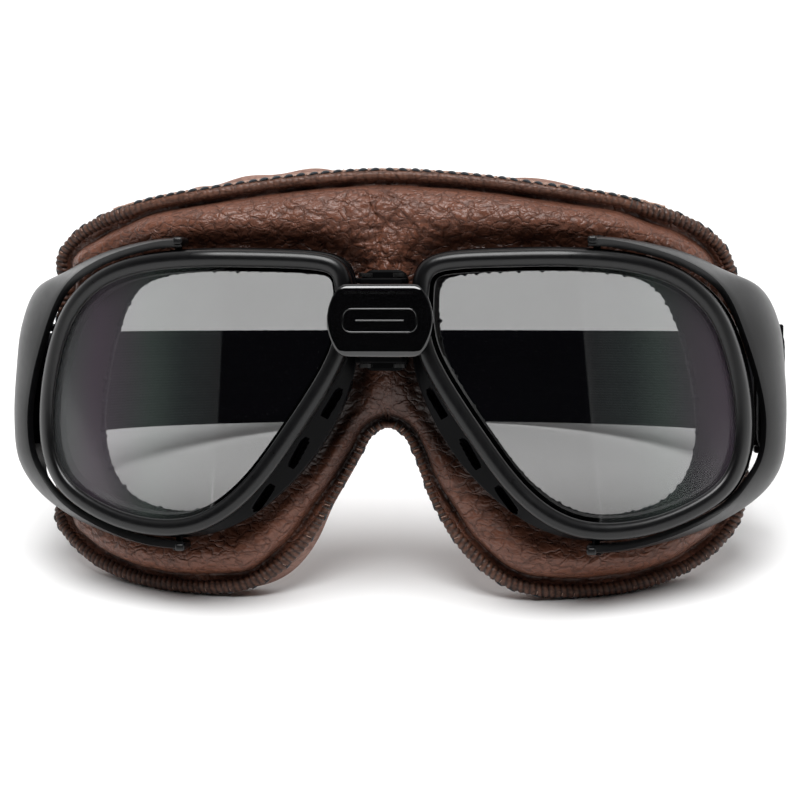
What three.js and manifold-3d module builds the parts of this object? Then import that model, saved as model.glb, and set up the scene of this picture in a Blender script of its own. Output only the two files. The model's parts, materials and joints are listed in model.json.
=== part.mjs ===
// Motorcycle goggles: two tinted eyepieces hinged on a bridge, with side wings that carry an
// elastic strap, and a padded leather face cushion behind them.
// Millimetres. The goggles are drawn upright as seen from the front: X to the right, Y back
// towards the face and Z up, with the origin in the middle of the bridge cover's front face.
// The whole group is then leaned back until it stands on its two cheek lobes and on the rear
// of the strap. Each eyepiece is drawn once, on the right, and mirrored to the left.
import * as THREE from "three";
import { ParametricGeometry } from "three/addons/geometries/ParametricGeometry.js";
import { mergeVertices } from "three/addons/utils/BufferGeometryUtils.js";
import Module from "manifold-3d";

const wasm = await Module();
wasm.setup();

// ---- Driving dimensions ----
const LEAN = 13.9; // degrees, how far the goggles lean back where they stand

// The crest of the lens rims lies on a surface that is flat in the middle, bends along a
// slanted line across each eyepiece and then wraps round the temple.
const FRONT_Y = 4;
const FLAT_HALF_WIDTH = 37; // at mid height
const BEND_SLANT = 0.066; // the bend line moves outwards by this much per mm down
const MID_Z = -18; // mid height of the lenses
const BEND_RADIUS = 30;
const BEND_ANGLE = THREE.MathUtils.degToRad(14);
const WRAP_RADIUS = 140;

// Eyepieces. Depths are measured back from the crest of the rim.
const AROUND = 40; // steps round each ring
const GAP = 0.4; // clearance between pieces
const RIM_WIDTH = 4.2;
const RIM_BACK = 5;
const LENS_LAP = 1.7; // how far the lens reaches under its rim
const LENS_MIDDLE_X = 49;
const LENS_FRONT = 2.7;
const LENS_BACK = 4.3;
const BASE_FRONT = 5.4;
const BASE_SIDE = 8.5;
const BASE_BACK = 12;
const BASE_LIP = 0.8; // how far the base frame stands in past the edge of the lens
const SLOT_SHARES = [0.795, 0.84, 0.88]; // places of the vent slots round the ring
const SLOT_LENGTH = 6.5;
const SLOT_WIDTH = 2.2;

// Bridge and its two hinges
const PIN_X = 4;
const PIN_Y = 7.2;
const PIN_RADIUS = 0.9;
const PIN_HEAD = 0.9; // height of a pin's head
const BARREL_RADIUS = 2.2;
const BARREL_HALF = 8;
const LUG_END = 9.6; // where the hinge lug meets the base frame
const LUG_BACK = FRONT_Y + 7.8;
const COVER_HALF_HEIGHT = 8.5;
const COVER_RADIUS = 12.4;
const COVER_THICK = 1.4;
const COVER_LIP = 1.2;
const FLANGE_Z = [8.7, 9.9];
const PLATE_Y = [13.3, 14.5]; // the bracket's rear plate
const PLATE_HALF = [5.4, 12];
const RIVET_Z = 5;
const RIVET_RADIUS = 0.9;

// Side wings
const WING_THICK = 1.8;
const WING_STEPS = 30;
const WING_FRONT_DEPTH = 2.5;
const WING_PIVOT_X = 50;
const WING_PIVOT_DEPTH = 9.2;
const WING_PIN_RADIUS = 1;
const BOSS_HALF = [3, 1.9]; // of the base frame's bosses for the wing pins, along X and Y
const UPPER_BOSS_Z = [14, 16.9];
const LOWER_BOSS_Z = [-52, -49];

// Strap
const STRAP_THICK = 1.5;
const STRAP_WIDTH = 28;
const STRAP_Z = -17.5;
const STRAP_X = 94; // middle of the strap's outer layer on its straight side runs
const LAYER_STEP = 1.8; // between the middles of its two layers
const STRAP_REAR_Y = 172;
const BAR_X = 93.3; // middle of the bar in the wing that the strap passes round
const LOOP_Y = 46.3;
const LOOP_RADIUS = 3.05;
const STRAP_SLOT_Y = [42.2, 45.7];
const STRAP_SLOT_HALF = 14.7;
const SLIDER_Y = 64;
const SLIDER_HALF = 5;
const SLIDER_BAR = 1.6;

// Face cushion
const CENTRE_LAP = 2; // each half of the cushion is drawn this far past the middle
const PIPING_RADIUS = 1.2;
const PIPING_DEPTH = 20.8;
const PIPING_STEPS = 64;

// Closed outlines of the right eyepiece as [x, z], point for point alike: from the nose
// corner over the top, round the temple, along the cheek and back up beside the nose.
const LENS_EDGE = [
  [11.1, 7], [11.9, 10.3], [14.6, 11.6], [28, 12.3], [44, 12.5],
  [59.5, 11.1], [69.4, 7.4], [76.5, 0.5], [80.6, -9.5], [82.8, -21],
  [82.6, -30.8], [79.5, -38], [73, -42.6], [62, -46.6], [50, -47.4],
  [41.5, -44.8], [33, -38], [24, -26], [13.7, -10], [11.2, -2.5],
];
const BASE_EDGE = [
  [6.6, 8], [8.3, 13.3], [13.2, 15.9], [28, 16.9], [44, 17],
  [60.6, 15.5], [71.8, 11.1], [80, 3.2], [84.9, -8], [87.2, -21],
  [86.9, -31.8], [83.2, -40.4], [75.4, -46.2], [62.9, -51], [49, -52.2],
  [37, -49.4], [26.4, -42.4], [15.5, -30.4], [7.6, -14], [6.6, -3.5],
];
const CUSHION_HOLE = [
  [11.6, 7], [12.6, 9.6], [15.4, 11], [28, 11.9], [43, 12],
  [56.5, 11.1], [64, 8], [68, 2], [71.4, -8], [73.8, -20],
  [74.2, -30], [71.6, -39], [66, -44.6], [58, -47.2], [48, -47.4],
  [40.5, -44.4], [32, -37.4], [23, -25.4], [13.6, -10], [11.8, -2.5],
];
const CUSHION_EDGE = [
  [0, 12], [0, 26], [0, 35], [21, 33.7], [41, 31],
  [58.5, 28.2], [73, 24.1], [82, 17.6], [86.2, 4], [87.6, -16],
  [88, -34], [86.3, -49], [76.5, -59.2], [62, -64.6], [45, -66],
  [31, -63.8], [20.5, -55.6], [12, -43], [5.8, -31.4], [0, -24.6],
];

// Lines of the outer face of a side wing, each row [x, z, y or depth]: its front edge, its
// crown and its rear edge, from its upper end round the temple to its lower end.
const WING_FRONT = [
  [45.5, 19.2], [54, 18.7], [63, 16.8], [70.5, 14.2], [77, 10.5],
  [82.6, 4.4], [87.6, -5], [91, -15], [92.6, -25], [91.4, -34],
  [86.7, -40.9], [79.2, -46.2], [69, -50.8], [58, -53.7], [45.5, -54.6],
];
const WING_CROWN = [
  [45.5, 19.6, 4], [54, 19.5, 4], [64, 17.9, 5], [72, 15.7, 6], [80, 12.1, 7],
  [88.5, 7.8, 8], [93.5, -1.5, 8], [95.4, -13, 8], [95.9, -25, 7], [94.8, -35, 7],
  [90.5, -41.8, 8], [81, -48.1, 7], [70, -52.1, 6], [58, -54.6, 5], [45.5, -55, 4],
];
const WING_REAR = [
  [45.5, 19.3, 9], [54, 19.2, 9], [64, 17.6, 9], [72, 15, 9], [80, 11.3, 9.5],
  [88.6, 6.3, 13], [92.5, 0.4, 20.5], [93.2, -12.5, 21.5], [93.2, -23, 20.5], [92.6, -35.4, 20],
  [89.4, -40.7, 14.5], [81.2, -47.3, 9.5], [71, -51.7, 9], [58, -54.4, 9], [45.5, -54.9, 9],
];
// Points of the strap's outer layer as [x, y], from the straight side run to the rear middle.
const STRAP_REAR = [
  [STRAP_X, 88], [91.8, 104], [82.5, 128], [64, 149], [36, 165.5], [0, STRAP_REAR_Y],
];

// ---- Materials ----
const paint = (color, roughness, metalness = 0) =>
  new THREE.MeshStandardMaterial({ color, roughness, metalness });
const satinBlack = paint(0x17171a, 0.42);
const mattBlack = paint(0x101012, 0.6);
const gloss = paint(0x08080a, 0.12, 0.4);
const steel = paint(0x8d8f93, 0.35, 0.9);
const smoke = new THREE.MeshStandardMaterial({
  color: 0x3a3d3c, roughness: 0.05, transparent: true, opacity: 0.45,
});
const brownLeather = paint(0x5d4034, 0.65);
const lightLeather = paint(0x7a5a4b, 0.7);
const foam = paint(0x2b2a2a, 0.95);
const thread = paint(0x1d2430, 0.8);
const webbing = paint(0x14141a, 0.9);

// ---- Solids ----
// A closed geometry as a solid, turned the right way out.
function toSolid(geometry) {
  const bare = new THREE.BufferGeometry();
  bare.setAttribute("position", geometry.getAttribute("position"));
  bare.setIndex(geometry.index);
  const merged = mergeVertices(bare, 1e-4);
  const triVerts = [];
  for (let i = 0; i < merged.index.count; i += 3) {
    const [a, b, c] = [0, 1, 2].map((k) => merged.index.getX(i + k));
    if (a !== b && b !== c && c !== a) triVerts.push(a, b, c);
  }
  const vertProperties = merged.attributes.position.array;
  const close = (order) => {
    const mesh = new wasm.Mesh({ numProp: 3, vertProperties, triVerts: new Uint32Array(order) });
    return new wasm.Manifold(mesh);
  };
  const solid = close(triVerts);
  return solid.volume() > 0 ? solid : close(triVerts.reverse());
}

function toGeometry(solid, side) {
  const mesh = solid.getMesh();
  const position = new Float32Array(mesh.numVert * 3);
  for (let i = 0; i < mesh.numVert; i++) {
    const at = i * mesh.numProp;
    position.set(mesh.vertProperties.subarray(at, at + 3), i * 3);
    position[i * 3] *= side;
  }
  const index = Uint32Array.from(mesh.triVerts);
  if (side < 0) {
    for (let i = 0; i < index.length; i += 3) {
      [index[i + 1], index[i + 2]] = [index[i + 2], index[i + 1]];
    }
  }
  const geometry = new THREE.BufferGeometry();
  geometry.setAttribute("position", new THREE.BufferAttribute(position, 3));
  geometry.setIndex(new THREE.BufferAttribute(index, 1));
  geometry.computeVertexNormals();
  return geometry;
}

const goggles = new THREE.Group();

function addMesh(name, solid, material, side = 1) {
  const mesh = new THREE.Mesh(toGeometry(solid, side), material);
  mesh.name = name;
  goggles.add(mesh);
}

function box(x0, x1, y0, y1, z0, z1) {
  const geometry = new THREE.BoxGeometry(x1 - x0, y1 - y0, z1 - z0);
  geometry.translate((x0 + x1) / 2, (y0 + y1) / 2, (z0 + z1) / 2);
  return toSolid(geometry);
}

// A round bar that stands along Z.
function post(x, y, z0, z1, radius, sides = 14) {
  const geometry = new THREE.CylinderGeometry(radius, radius, z1 - z0, sides);
  geometry.rotateX(Math.PI / 2);
  geometry.translate(x, y, (z0 + z1) / 2);
  return toSolid(geometry);
}

const joinAll = (solids) => solids.reduce((sum, solid) => sum.add(solid));

// Y of the rim crest surface at a point of the front view: flat, then a tight bend, then a
// wider wrap round the temple.
function crestY(x, z) {
  const past = Math.abs(x) - BEND_SLANT * (z - MID_Z) - FLAT_HALF_WIDTH;
  if (past <= 0) return FRONT_Y;
  const bendSine = Math.sin(BEND_ANGLE);
  const bendWidth = BEND_RADIUS * bendSine;
  if (past < bendWidth) {
    return FRONT_Y + BEND_RADIUS - Math.sqrt(BEND_RADIUS ** 2 - past ** 2);
  }
  const sine = bendSine + (past - bendWidth) / WRAP_RADIUS;
  const bendDepth = BEND_RADIUS * (1 - Math.cos(BEND_ANGLE));
  const wrapDepth = WRAP_RADIUS * (Math.cos(BEND_ANGLE) - Math.cos(Math.asin(sine)));
  return FRONT_Y + bendDepth + wrapDepth;
}

function closedCurve(rows) {
  const points = rows.map(([x, z]) => new THREE.Vector3(x, 0, z));
  return new THREE.CatmullRomCurve3(points, true, "centripetal");
}

const lensEdge = closedCurve(LENS_EDGE);
const baseEdge = closedCurve(BASE_EDGE);
const cushionHole = closedCurve(CUSHION_HOLE);
const cushionEdge = closedCurve(CUSHION_EDGE);

// A point round an eyepiece ring at t. A station is [inner curve, outer curve, share, offset,
// depth]: the share of the way from one curve to the other, then an offset away from the eye.
function stationPoint(station, t, target) {
  const [inner, outer, share, offset, depth] = station;
  const from = inner.getPoint(t);
  const to = outer.getPoint(t);
  const away = to.clone().sub(from).normalize();
  from.lerp(to, share).addScaledVector(away, offset);
  if (to.x <= 0 && share > 0.9) from.x = -CENTRE_LAP;
  target.set(from.x, crestY(from.x, from.z) + depth, from.z);
}

// A closed ring swept round the eyepiece; its stations run round its cross-section.
function ring(stations) {
  const sweep = (u, v, target) => {
    const index = Math.round(v * stations.length) % stations.length;
    stationPoint(stations[index], u % 1, target);
  };
  return toSolid(new ParametricGeometry(sweep, AROUND, stations.length));
}

// ---- Eyepieces ----
function lensRim() {
  const lip = (offset, depth) => [lensEdge, baseEdge, 0, offset, depth];
  return ring([
    lip(0, LENS_FRONT - GAP),
    lip(LENS_LAP + GAP, LENS_FRONT - GAP),
    lip(LENS_LAP + GAP, RIM_BACK),
    lip(RIM_WIDTH, RIM_BACK),
    lip(RIM_WIDTH, 1.9),
    lip(RIM_WIDTH - 0.7, 0.7),
    lip(RIM_WIDTH - 1.7, 0),
    lip(1.4, 0.25),
    lip(0.4, 1.1),
  ]);
}

function lens() {
  const middle = new THREE.Vector3(LENS_MIDDLE_X, 0, MID_Z);
  const shares = [0, 0.4, 0.75, 1];
  const rows = shares.map((share) => [share, LENS_FRONT]);
  rows.push(...shares.map((share) => [share, LENS_BACK]).reverse());
  const sweep = (u, v, target) => {
    const [share, depth] = rows[Math.round(v * (rows.length - 1))];
    const t = u % 1;
    const edge = lensEdge.getPoint(t);
    const away = baseEdge.getPoint(t).sub(edge).normalize();
    edge.addScaledVector(away, LENS_LAP);
    const point = middle.clone().lerp(edge, share);
    target.set(point.x, crestY(point.x, point.z) + depth, point.z);
  };
  return toSolid(new ParametricGeometry(sweep, AROUND, rows.length - 1));
}

// A tool that cuts one vent slot through the base frame, outside the rim.
function ventSlot(t) {
  const from = lensEdge.getPoint(t);
  const to = baseEdge.getPoint(t);
  const away = to.clone().sub(from).normalize();
  const geometry = new THREE.BoxGeometry(SLOT_LENGTH, 40, SLOT_WIDTH);
  geometry.rotateY(Math.PI / 2 - Math.atan2(away.z, away.x));
  const middle = from.addScaledVector(away, RIM_WIDTH + SLOT_WIDTH + 0.2);
  geometry.translate(middle.x, FRONT_Y + BASE_BACK, middle.z);
  return toSolid(geometry);
}

function baseFrame() {
  const onLens = (offset, depth) => [lensEdge, baseEdge, 0, offset, depth];
  const onEdge = (offset, depth) => [lensEdge, baseEdge, 1, offset, depth];
  const shell = ring([
    onLens(-BASE_LIP, LENS_BACK + GAP),
    onLens(LENS_LAP + GAP, LENS_BACK + GAP),
    onLens(LENS_LAP + GAP, BASE_FRONT),
    onLens(RIM_WIDTH, BASE_FRONT),
    onEdge(0.2, BASE_SIDE),
    onEdge(0.2, BASE_BACK),
    onLens(-BASE_LIP, BASE_BACK),
  ]);
  const { y: pivotY } = wingPivot();
  const boss = ([z0, z1]) => {
    const [halfX, halfY] = BOSS_HALF;
    const x = WING_PIVOT_X;
    return box(x - halfX, x + halfX, pivotY - halfY, pivotY + halfY, z0, z1);
  };
  const slots = SLOT_SHARES.map(ventSlot);
  const bridgeRoom = box(0, LUG_END, LUG_BACK + 0.2, 30, -13, 13);
  const pinHole = post(PIN_X, PIN_Y, -20, 20, PIN_RADIUS + GAP);
  const wingPinHole = (z0, z1) => post(WING_PIVOT_X, pivotY, z0, z1, WING_PIN_RADIUS + GAP);
  return joinAll([shell, hingeLug(), boss(UPPER_BOSS_Z), boss(LOWER_BOSS_Z)])
    .subtract(joinAll([pinHole, bridgeRoom, ...slots]))
    .subtract(wingPinHole(UPPER_BOSS_Z[0] - 0.6, 30))
    .subtract(wingPinHole(-70, LOWER_BOSS_Z[1] + 0.6));
}

// The barrel that turns on the hinge pin, and the web that joins it to the base frame.
function hingeLug() {
  const rootX = PIN_X - 1.6;
  return joinAll([
    post(PIN_X, PIN_Y, -BARREL_HALF, BARREL_HALF, BARREL_RADIUS),
    box(rootX, PIN_X + 1.9, PIN_Y, LUG_BACK, -BARREL_HALF, BARREL_HALF),
    box(rootX, LUG_END, FRONT_Y + BASE_FRONT, LUG_BACK, -BARREL_HALF, BARREL_HALF),
  ]);
}

// ---- Side wings ----
// Where the wing pins stand.
function wingPivot() {
  return { y: crestY(WING_PIVOT_X, 0) + WING_PIVOT_DEPTH };
}

function wingCurve(rows) {
  const points = rows.map(([x, z, extra = 0]) => {
    return new THREE.Vector3(x, crestY(x, z) + WING_FRONT_DEPTH + extra, z);
  });
  return new THREE.CatmullRomCurve3(points, false, "centripetal");
}

const wingLines = [WING_FRONT, WING_CROWN, WING_REAR].map(wingCurve);

// A point of the wing's outer face: u runs from its upper end to its lower end, w from its
// front edge to its rear edge.
function wingFace(u, w) {
  const [front, crown, rear] = wingLines.map((line) => line.getPoint(u));
  const control = crown.clone().multiplyScalar(2).addScaledVector(front, -0.5);
  control.addScaledVector(rear, -0.5);
  return new THREE.QuadraticBezierCurve3(front, control, rear).getPoint(w);
}

function wingNormal(u, w) {
  const step = 0.01;
  const along = wingFace(Math.min(u + step, 1), w).sub(wingFace(Math.max(u - step, 0), w));
  const across = wingFace(u, Math.min(w + step, 1)).sub(wingFace(u, Math.max(w - step, 0)));
  return across.cross(along).normalize();
}

// A sheet bent round the temple, with a slot for the strap near its rear edge. The first and
// the last step along it close its ends.
function sideWing() {
  const widths = [0, 0.25, 0.5, 0.75, 1];
  const rows = widths.map((w) => [w, 0]);
  rows.push(...widths.map((w) => [w, WING_THICK]).reverse());
  const steps = WING_STEPS + 2;
  const sweep = (u, v, target) => {
    const capped = u === 0 || u === 1;
    const [width, inset] = rows[Math.round(v * rows.length) % rows.length];
    const step = Math.min(Math.max(Math.round(u * steps) - 1, 0), WING_STEPS);
    const along = step / WING_STEPS;
    const w = capped ? 0.5 : width;
    const depth = capped ? WING_THICK / 2 : inset;
    target.copy(wingFace(along, w)).addScaledVector(wingNormal(along, w), depth);
  };
  const shell = toSolid(new ParametricGeometry(sweep, steps, rows.length));
  const [z0, z1] = [STRAP_Z - STRAP_SLOT_HALF, STRAP_Z + STRAP_SLOT_HALF];
  const slot = box(80, 100, ...STRAP_SLOT_Y, z0, z1);
  const { y } = wingPivot();
  const pinHole = (low, high) => post(WING_PIVOT_X, y, low, high, WING_PIN_RADIUS + GAP);
  return shell.subtract(joinAll([slot, pinHole(15, 30), pinHole(-70, -50)]));
}

// A pin with its head outside the wing.
function wingPin([z0, z1], [headZ0, headZ1]) {
  const { y } = wingPivot();
  const shank = post(WING_PIVOT_X, y, z0, z1, WING_PIN_RADIUS);
  return shank.add(post(WING_PIVOT_X, y, headZ0, headZ1, WING_PIN_RADIUS + 1));
}

// ---- Bridge ----
// A plate of the given front view, which is the same upside down, from y0 back to y1.
function extrudeBack(shape, y0, y1) {
  const geometry = new THREE.ExtrudeGeometry(shape, {
    depth: y1 - y0, bevelEnabled: false, curveSegments: 10,
  });
  geometry.rotateX(-Math.PI / 2);
  geometry.translate(0, y0, 0);
  return toSolid(geometry);
}

// The span from near to far on one side of the middle, or its mirror image.
function span(sign, near, far) {
  return sign > 0 ? [near, far] : [-far, -near];
}

function bridgeCover() {
  const lift = Math.asin(COVER_HALF_HEIGHT / COVER_RADIUS);
  const shape = new THREE.Shape();
  shape.absarc(0, 0, COVER_RADIUS, -lift, lift, false);
  shape.absarc(0, 0, COVER_RADIUS, Math.PI - lift, Math.PI + lift, false);
  shape.closePath();
  const plate = extrudeBack(shape, 0, COVER_THICK);
  const lip = (sign) => {
    const z = span(sign, COVER_HALF_HEIGHT - COVER_LIP, COVER_HALF_HEIGHT);
    return box(-7, 7, COVER_THICK - 0.5, 3.2, ...z);
  };
  return joinAll([plate, lip(1), lip(-1)]);
}

// A spine behind the cover, two flanges that hold the hinge pins, and a rear plate whose
// rounded ends show above and below.
function hingeBracket() {
  const [flangeLow, flangeHigh] = FLANGE_Z;
  const flange = (sign) => {
    const z = span(sign, flangeLow, flangeHigh);
    return box(-6, 6, 3.6, 9.5, ...z).add(box(-3, 3, 9, PLATE_Y[0] + 0.5, ...z));
  };
  const [w, h] = PLATE_HALF;
  const r = 2.5;
  const plate = new THREE.Shape();
  plate.absarc(-w + r, -h + r, r, Math.PI, Math.PI * 1.5, false);
  plate.absarc(w - r, -h + r, r, -Math.PI / 2, 0, false);
  plate.absarc(w - r, h - r, r, 0, Math.PI / 2, false);
  plate.absarc(-w + r, h - r, r, Math.PI / 2, Math.PI, false);
  const rear = extrudeBack(plate, ...PLATE_Y);
  const spine = box(-5, 5, 3.2, 4.4, -flangeHigh, flangeHigh);
  const pinHoles = [PIN_X, -PIN_X].map((x) => post(x, PIN_Y, -20, 20, PIN_RADIUS + 0.3));
  const rivetHoles = [RIVET_Z, -RIVET_Z].map((z) => rivetShank(z, 0, 8, RIVET_RADIUS + 0.3));
  return joinAll([flange(1), flange(-1), rear, spine]).subtract(
    joinAll([...pinHoles, ...rivetHoles]),
  );
}

function hingePin() {
  const end = FLANGE_Z[1] + 0.3;
  const tip = end + PIN_HEAD;
  return joinAll([
    post(PIN_X, PIN_Y, -tip, tip, PIN_RADIUS),
    post(PIN_X, PIN_Y, end, tip, PIN_RADIUS + 0.7),
    post(PIN_X, PIN_Y, -tip, -end, PIN_RADIUS + 0.7),
  ]);
}

function rivetShank(z, y0, y1, radius) {
  const geometry = new THREE.CylinderGeometry(radius, radius, y1 - y0, 12);
  geometry.translate(0, (y0 + y1) / 2, z);
  return toSolid(geometry);
}

const coverRivet = (z) => {
  const shank = rivetShank(z, COVER_THICK + 0.3, 4.9, RIVET_RADIUS);
  return shank.add(rivetShank(z, 4.7, 5.5, RIVET_RADIUS + 0.6));
};

// ---- Face cushion ----
// Both halves of a cushion layer, joined at the middle.
function cushionLayer(stations) {
  const half = ring(stations).intersect(box(0, 200, -200, 200, -200, 200));
  return half.add(toSolid(toGeometry(half, -1)));
}

// Stations of the cushion: outwards from its rear opening, or from the edge of the lens.
const onRear = (share, offset, depth) => [cushionHole, cushionEdge, share, offset, depth];
const onFront = (share, offset, depth) => [lensEdge, cushionEdge, share, offset, depth];

const frontLeather = () =>
  cushionLayer([
    onFront(0, 0.3, 12.4),
    onFront(0.45, 0, 12.6),
    onFront(0.75, 0, 14.2),
    onFront(0.96, 0, 17.4),
    onFront(0.96, 0, 18.8),
    onFront(0.75, 0, 15.8),
    onFront(0.45, 0, 14),
    onFront(0, 0.3, 13.8),
  ]);

const foamCore = () =>
  cushionLayer([
    onFront(0, 1.8, 14.4),
    onFront(0.45, 0, 14.6),
    onFront(0.65, 0, 15.6),
    onFront(1, -2.8, 19),
    onFront(1, -2.8, 22.8),
    onRear(0.82, -1.2, 24.8),
    onRear(0.5, 0, 26.5),
    onRear(0.14, 1.8, 25.4),
    onRear(0, 3, 23.6),
  ]);

const backLining = () =>
  cushionLayer([
    onFront(0, 0.3, 14.4),
    onFront(0, 1.4, 14.4),
    onRear(0, 1.6, 25),
    onRear(0.12, 1, 26.5),
    onRear(0.5, 0, 27.2),
    onRear(1, -1.5, 24),
    onRear(1, -0.4, 23.4),
    onRear(0.88, 0, 27.2),
    onRear(0.5, 0, 28.4),
    onRear(0.12, 0, 27.7),
    onRear(0, 0.2, 25.6),
  ]);

// The roll of the seam that joins the front leather to the back lining.
function seamPiping() {
  const half = CUSHION_EDGE.slice(2).map(([x, z]) => [Math.max(x, 0), z]);
  const mirrored = half.slice(1, -1).map(([x, z]) => [-x, z]).reverse();
  const points = [...half, ...mirrored].map(([x, z]) => {
    return new THREE.Vector3(x, crestY(x, z) + PIPING_DEPTH, z);
  });
  const path = new THREE.CatmullRomCurve3(points, true, "centripetal");
  const round = new THREE.Shape().absarc(0, 0, PIPING_RADIUS, 0, Math.PI * 2, false);
  const geometry = new THREE.ExtrudeGeometry(round, {
    steps: PIPING_STEPS, extrudePath: path, curveSegments: 4, bevelEnabled: false,
  });
  return toSolid(geometry);
}

// ---- Strap ----
// The middle line of the webbing on one side, from its tail, round the wing's bar, to the rear.
function strapHalfLine() {
  const inner = STRAP_X - LAYER_STEP;
  const line = [
    [inner, 96], [inner, 74], [inner, 58], [BAR_X - LOOP_RADIUS, 50], [BAR_X - LOOP_RADIUS, LOOP_Y],
  ];
  const turns = 6;
  for (let i = 1; i <= turns; i++) {
    const angle = Math.PI + (Math.PI * i) / turns;
    line.push([BAR_X + LOOP_RADIUS * Math.cos(angle), LOOP_Y + LOOP_RADIUS * Math.sin(angle)]);
  }
  line.push([BAR_X + LOOP_RADIUS, 50], [STRAP_X, 58], [STRAP_X, 74]);
  const curve = new THREE.CatmullRomCurve3(
    [[STRAP_X, 82], ...STRAP_REAR, [-36, 165.5]].map(([x, y]) => new THREE.Vector3(x, y, 0)),
    false,
    "centripetal",
  );
  const last = STRAP_REAR.length;
  const steps = 20;
  for (let i = 0; i <= steps; i++) {
    const point = curve.getPoint((i / steps) * (last / (last + 1)));
    line.push([point.x, point.y]);
  }
  return line;
}

function strap() {
  const half = strapHalfLine();
  const other = half.slice(0, -1).map(([x, y]) => [-x, y]).reverse();
  const line = [...half, ...other].map(([x, y]) => new THREE.Vector2(x, y));
  const sideOf = (offset) =>
    line.map((point, i) => {
      const before = line[Math.max(i - 1, 0)];
      const after = line[Math.min(i + 1, line.length - 1)];
      const along = after.clone().sub(before).normalize();
      return new THREE.Vector2(point.x - along.y * offset, point.y + along.x * offset);
    });
  const outline = [...sideOf(STRAP_THICK / 2), ...sideOf(-STRAP_THICK / 2).reverse()];
  const geometry = new THREE.ExtrudeGeometry(new THREE.Shape(outline), {
    depth: STRAP_WIDTH, bevelEnabled: false,
  });
  geometry.translate(0, 0, STRAP_Z - STRAP_WIDTH / 2);
  return toSolid(geometry);
}

// A slider whose end bars lie on the outside of the strap and its middle bar on the inside.
function strapSlider() {
  const clear = STRAP_THICK / 2 + GAP;
  const outer = [STRAP_X + clear, STRAP_X + clear + SLIDER_BAR];
  const innerX = STRAP_X - LAYER_STEP - clear;
  const inner = [innerX - SLIDER_BAR, innerX];
  const reach = STRAP_WIDTH / 2 + 2.4;
  const [z0, z1] = [STRAP_Z - reach, STRAP_Z + reach];
  const endBar = (y) => box(...outer, y - 1, y + 1, z0, z1);
  const rail = (z) => {
    return box(inner[0], outer[1], SLIDER_Y - SLIDER_HALF, SLIDER_Y + SLIDER_HALF, z, z + 2);
  };
  return joinAll([
    endBar(SLIDER_Y - SLIDER_HALF + 1),
    endBar(SLIDER_Y + SLIDER_HALF - 1),
    box(...inner, SLIDER_Y - 1.3, SLIDER_Y + 1.3, z0, z1),
    rail(z0),
    rail(z1 - 2),
  ]);
}

// ---- Assembly ----
addMesh("bridge_front_cover", bridgeCover(), gloss);
addMesh("bridge_hinge_bracket", hingeBracket(), mattBlack);
addMesh("cover_rivet_upper", coverRivet(RIVET_Z), steel);
addMesh("cover_rivet_lower", coverRivet(-RIVET_Z), steel);

const eyepieceParts = [
  ["lens", lens(), smoke],
  ["lens_rim", lensRim(), satinBlack],
  ["base_frame", baseFrame(), mattBlack],
  ["side_wing", sideWing(), satinBlack],
  ["upper_wing_pin", wingPin([14.4, 20.4], [20, 21]), mattBlack],
  ["lower_wing_pin", wingPin([-55.2, -49.4], [-56, -55]), mattBlack],
  ["hinge_pin", hingePin(), steel],
  ["strap_slider", strapSlider(), mattBlack],
];
for (const [side, sign] of [["left", -1], ["right", 1]]) {
  for (const [name, solid, material] of eyepieceParts) {
    addMesh(`${side}_${name}`, solid, material, sign);
  }
}

addMesh("cushion_front_leather", frontLeather(), brownLeather);
addMesh("cushion_foam_core", foamCore(), foam);
addMesh("cushion_back_lining", backLining(), lightLeather);
addMesh("cushion_seam_piping", seamPiping(), thread);
addMesh("elastic_strap", strap(), webbing);

// The leaned goggles are set down on z = 0, centred over the origin.
const part = new THREE.Group();
part.add(goggles);
goggles.rotation.x = -THREE.MathUtils.degToRad(LEAN);
part.updateMatrixWorld(true);
const bounds = new THREE.Box3().setFromObject(part, true);
goggles.position.set(0, -(bounds.min.y + bounds.max.y) / 2, -bounds.min.z);
export default part;
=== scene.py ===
import json
import math

import bmesh
import bpy
import numpy as np
from mathutils import Matrix, Vector, noise


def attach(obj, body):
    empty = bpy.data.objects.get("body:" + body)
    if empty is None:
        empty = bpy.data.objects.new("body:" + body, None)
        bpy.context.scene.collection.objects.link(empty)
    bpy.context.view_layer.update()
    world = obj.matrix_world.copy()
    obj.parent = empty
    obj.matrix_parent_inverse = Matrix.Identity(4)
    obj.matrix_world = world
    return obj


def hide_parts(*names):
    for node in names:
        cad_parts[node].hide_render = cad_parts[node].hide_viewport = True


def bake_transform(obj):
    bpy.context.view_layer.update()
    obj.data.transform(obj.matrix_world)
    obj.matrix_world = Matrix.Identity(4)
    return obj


# Motorcycle goggles: the visible pieces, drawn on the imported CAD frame.
# Shapes are drawn in the goggles' own millimetres: upright as seen from the front, X right,
# Y back towards the face, Z up, from the middle of the bridge cover's front face. Each side is
# drawn once, on the right (side = 1), and mirrored to the left (side = -1).

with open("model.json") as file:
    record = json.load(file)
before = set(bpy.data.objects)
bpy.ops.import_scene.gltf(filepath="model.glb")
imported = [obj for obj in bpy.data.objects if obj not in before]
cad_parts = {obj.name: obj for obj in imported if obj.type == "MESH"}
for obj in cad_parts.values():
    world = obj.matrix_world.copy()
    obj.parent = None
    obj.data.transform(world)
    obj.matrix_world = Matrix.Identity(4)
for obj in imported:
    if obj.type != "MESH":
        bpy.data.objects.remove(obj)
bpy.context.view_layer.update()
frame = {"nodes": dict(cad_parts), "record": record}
noise.seed_set(1)  # without a seed, noise_vector starts from the clock

# ---- Driving dimensions, in millimetres ----
MM = 0.001
COVER_MOUNT = frame["record"]["mounts"][0]
ORIGIN = np.array(COVER_MOUNT["pos_m"])
LEAN = math.atan2(COVER_MOUNT["axis"][2], -COVER_MOUNT["axis"][1])

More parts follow.
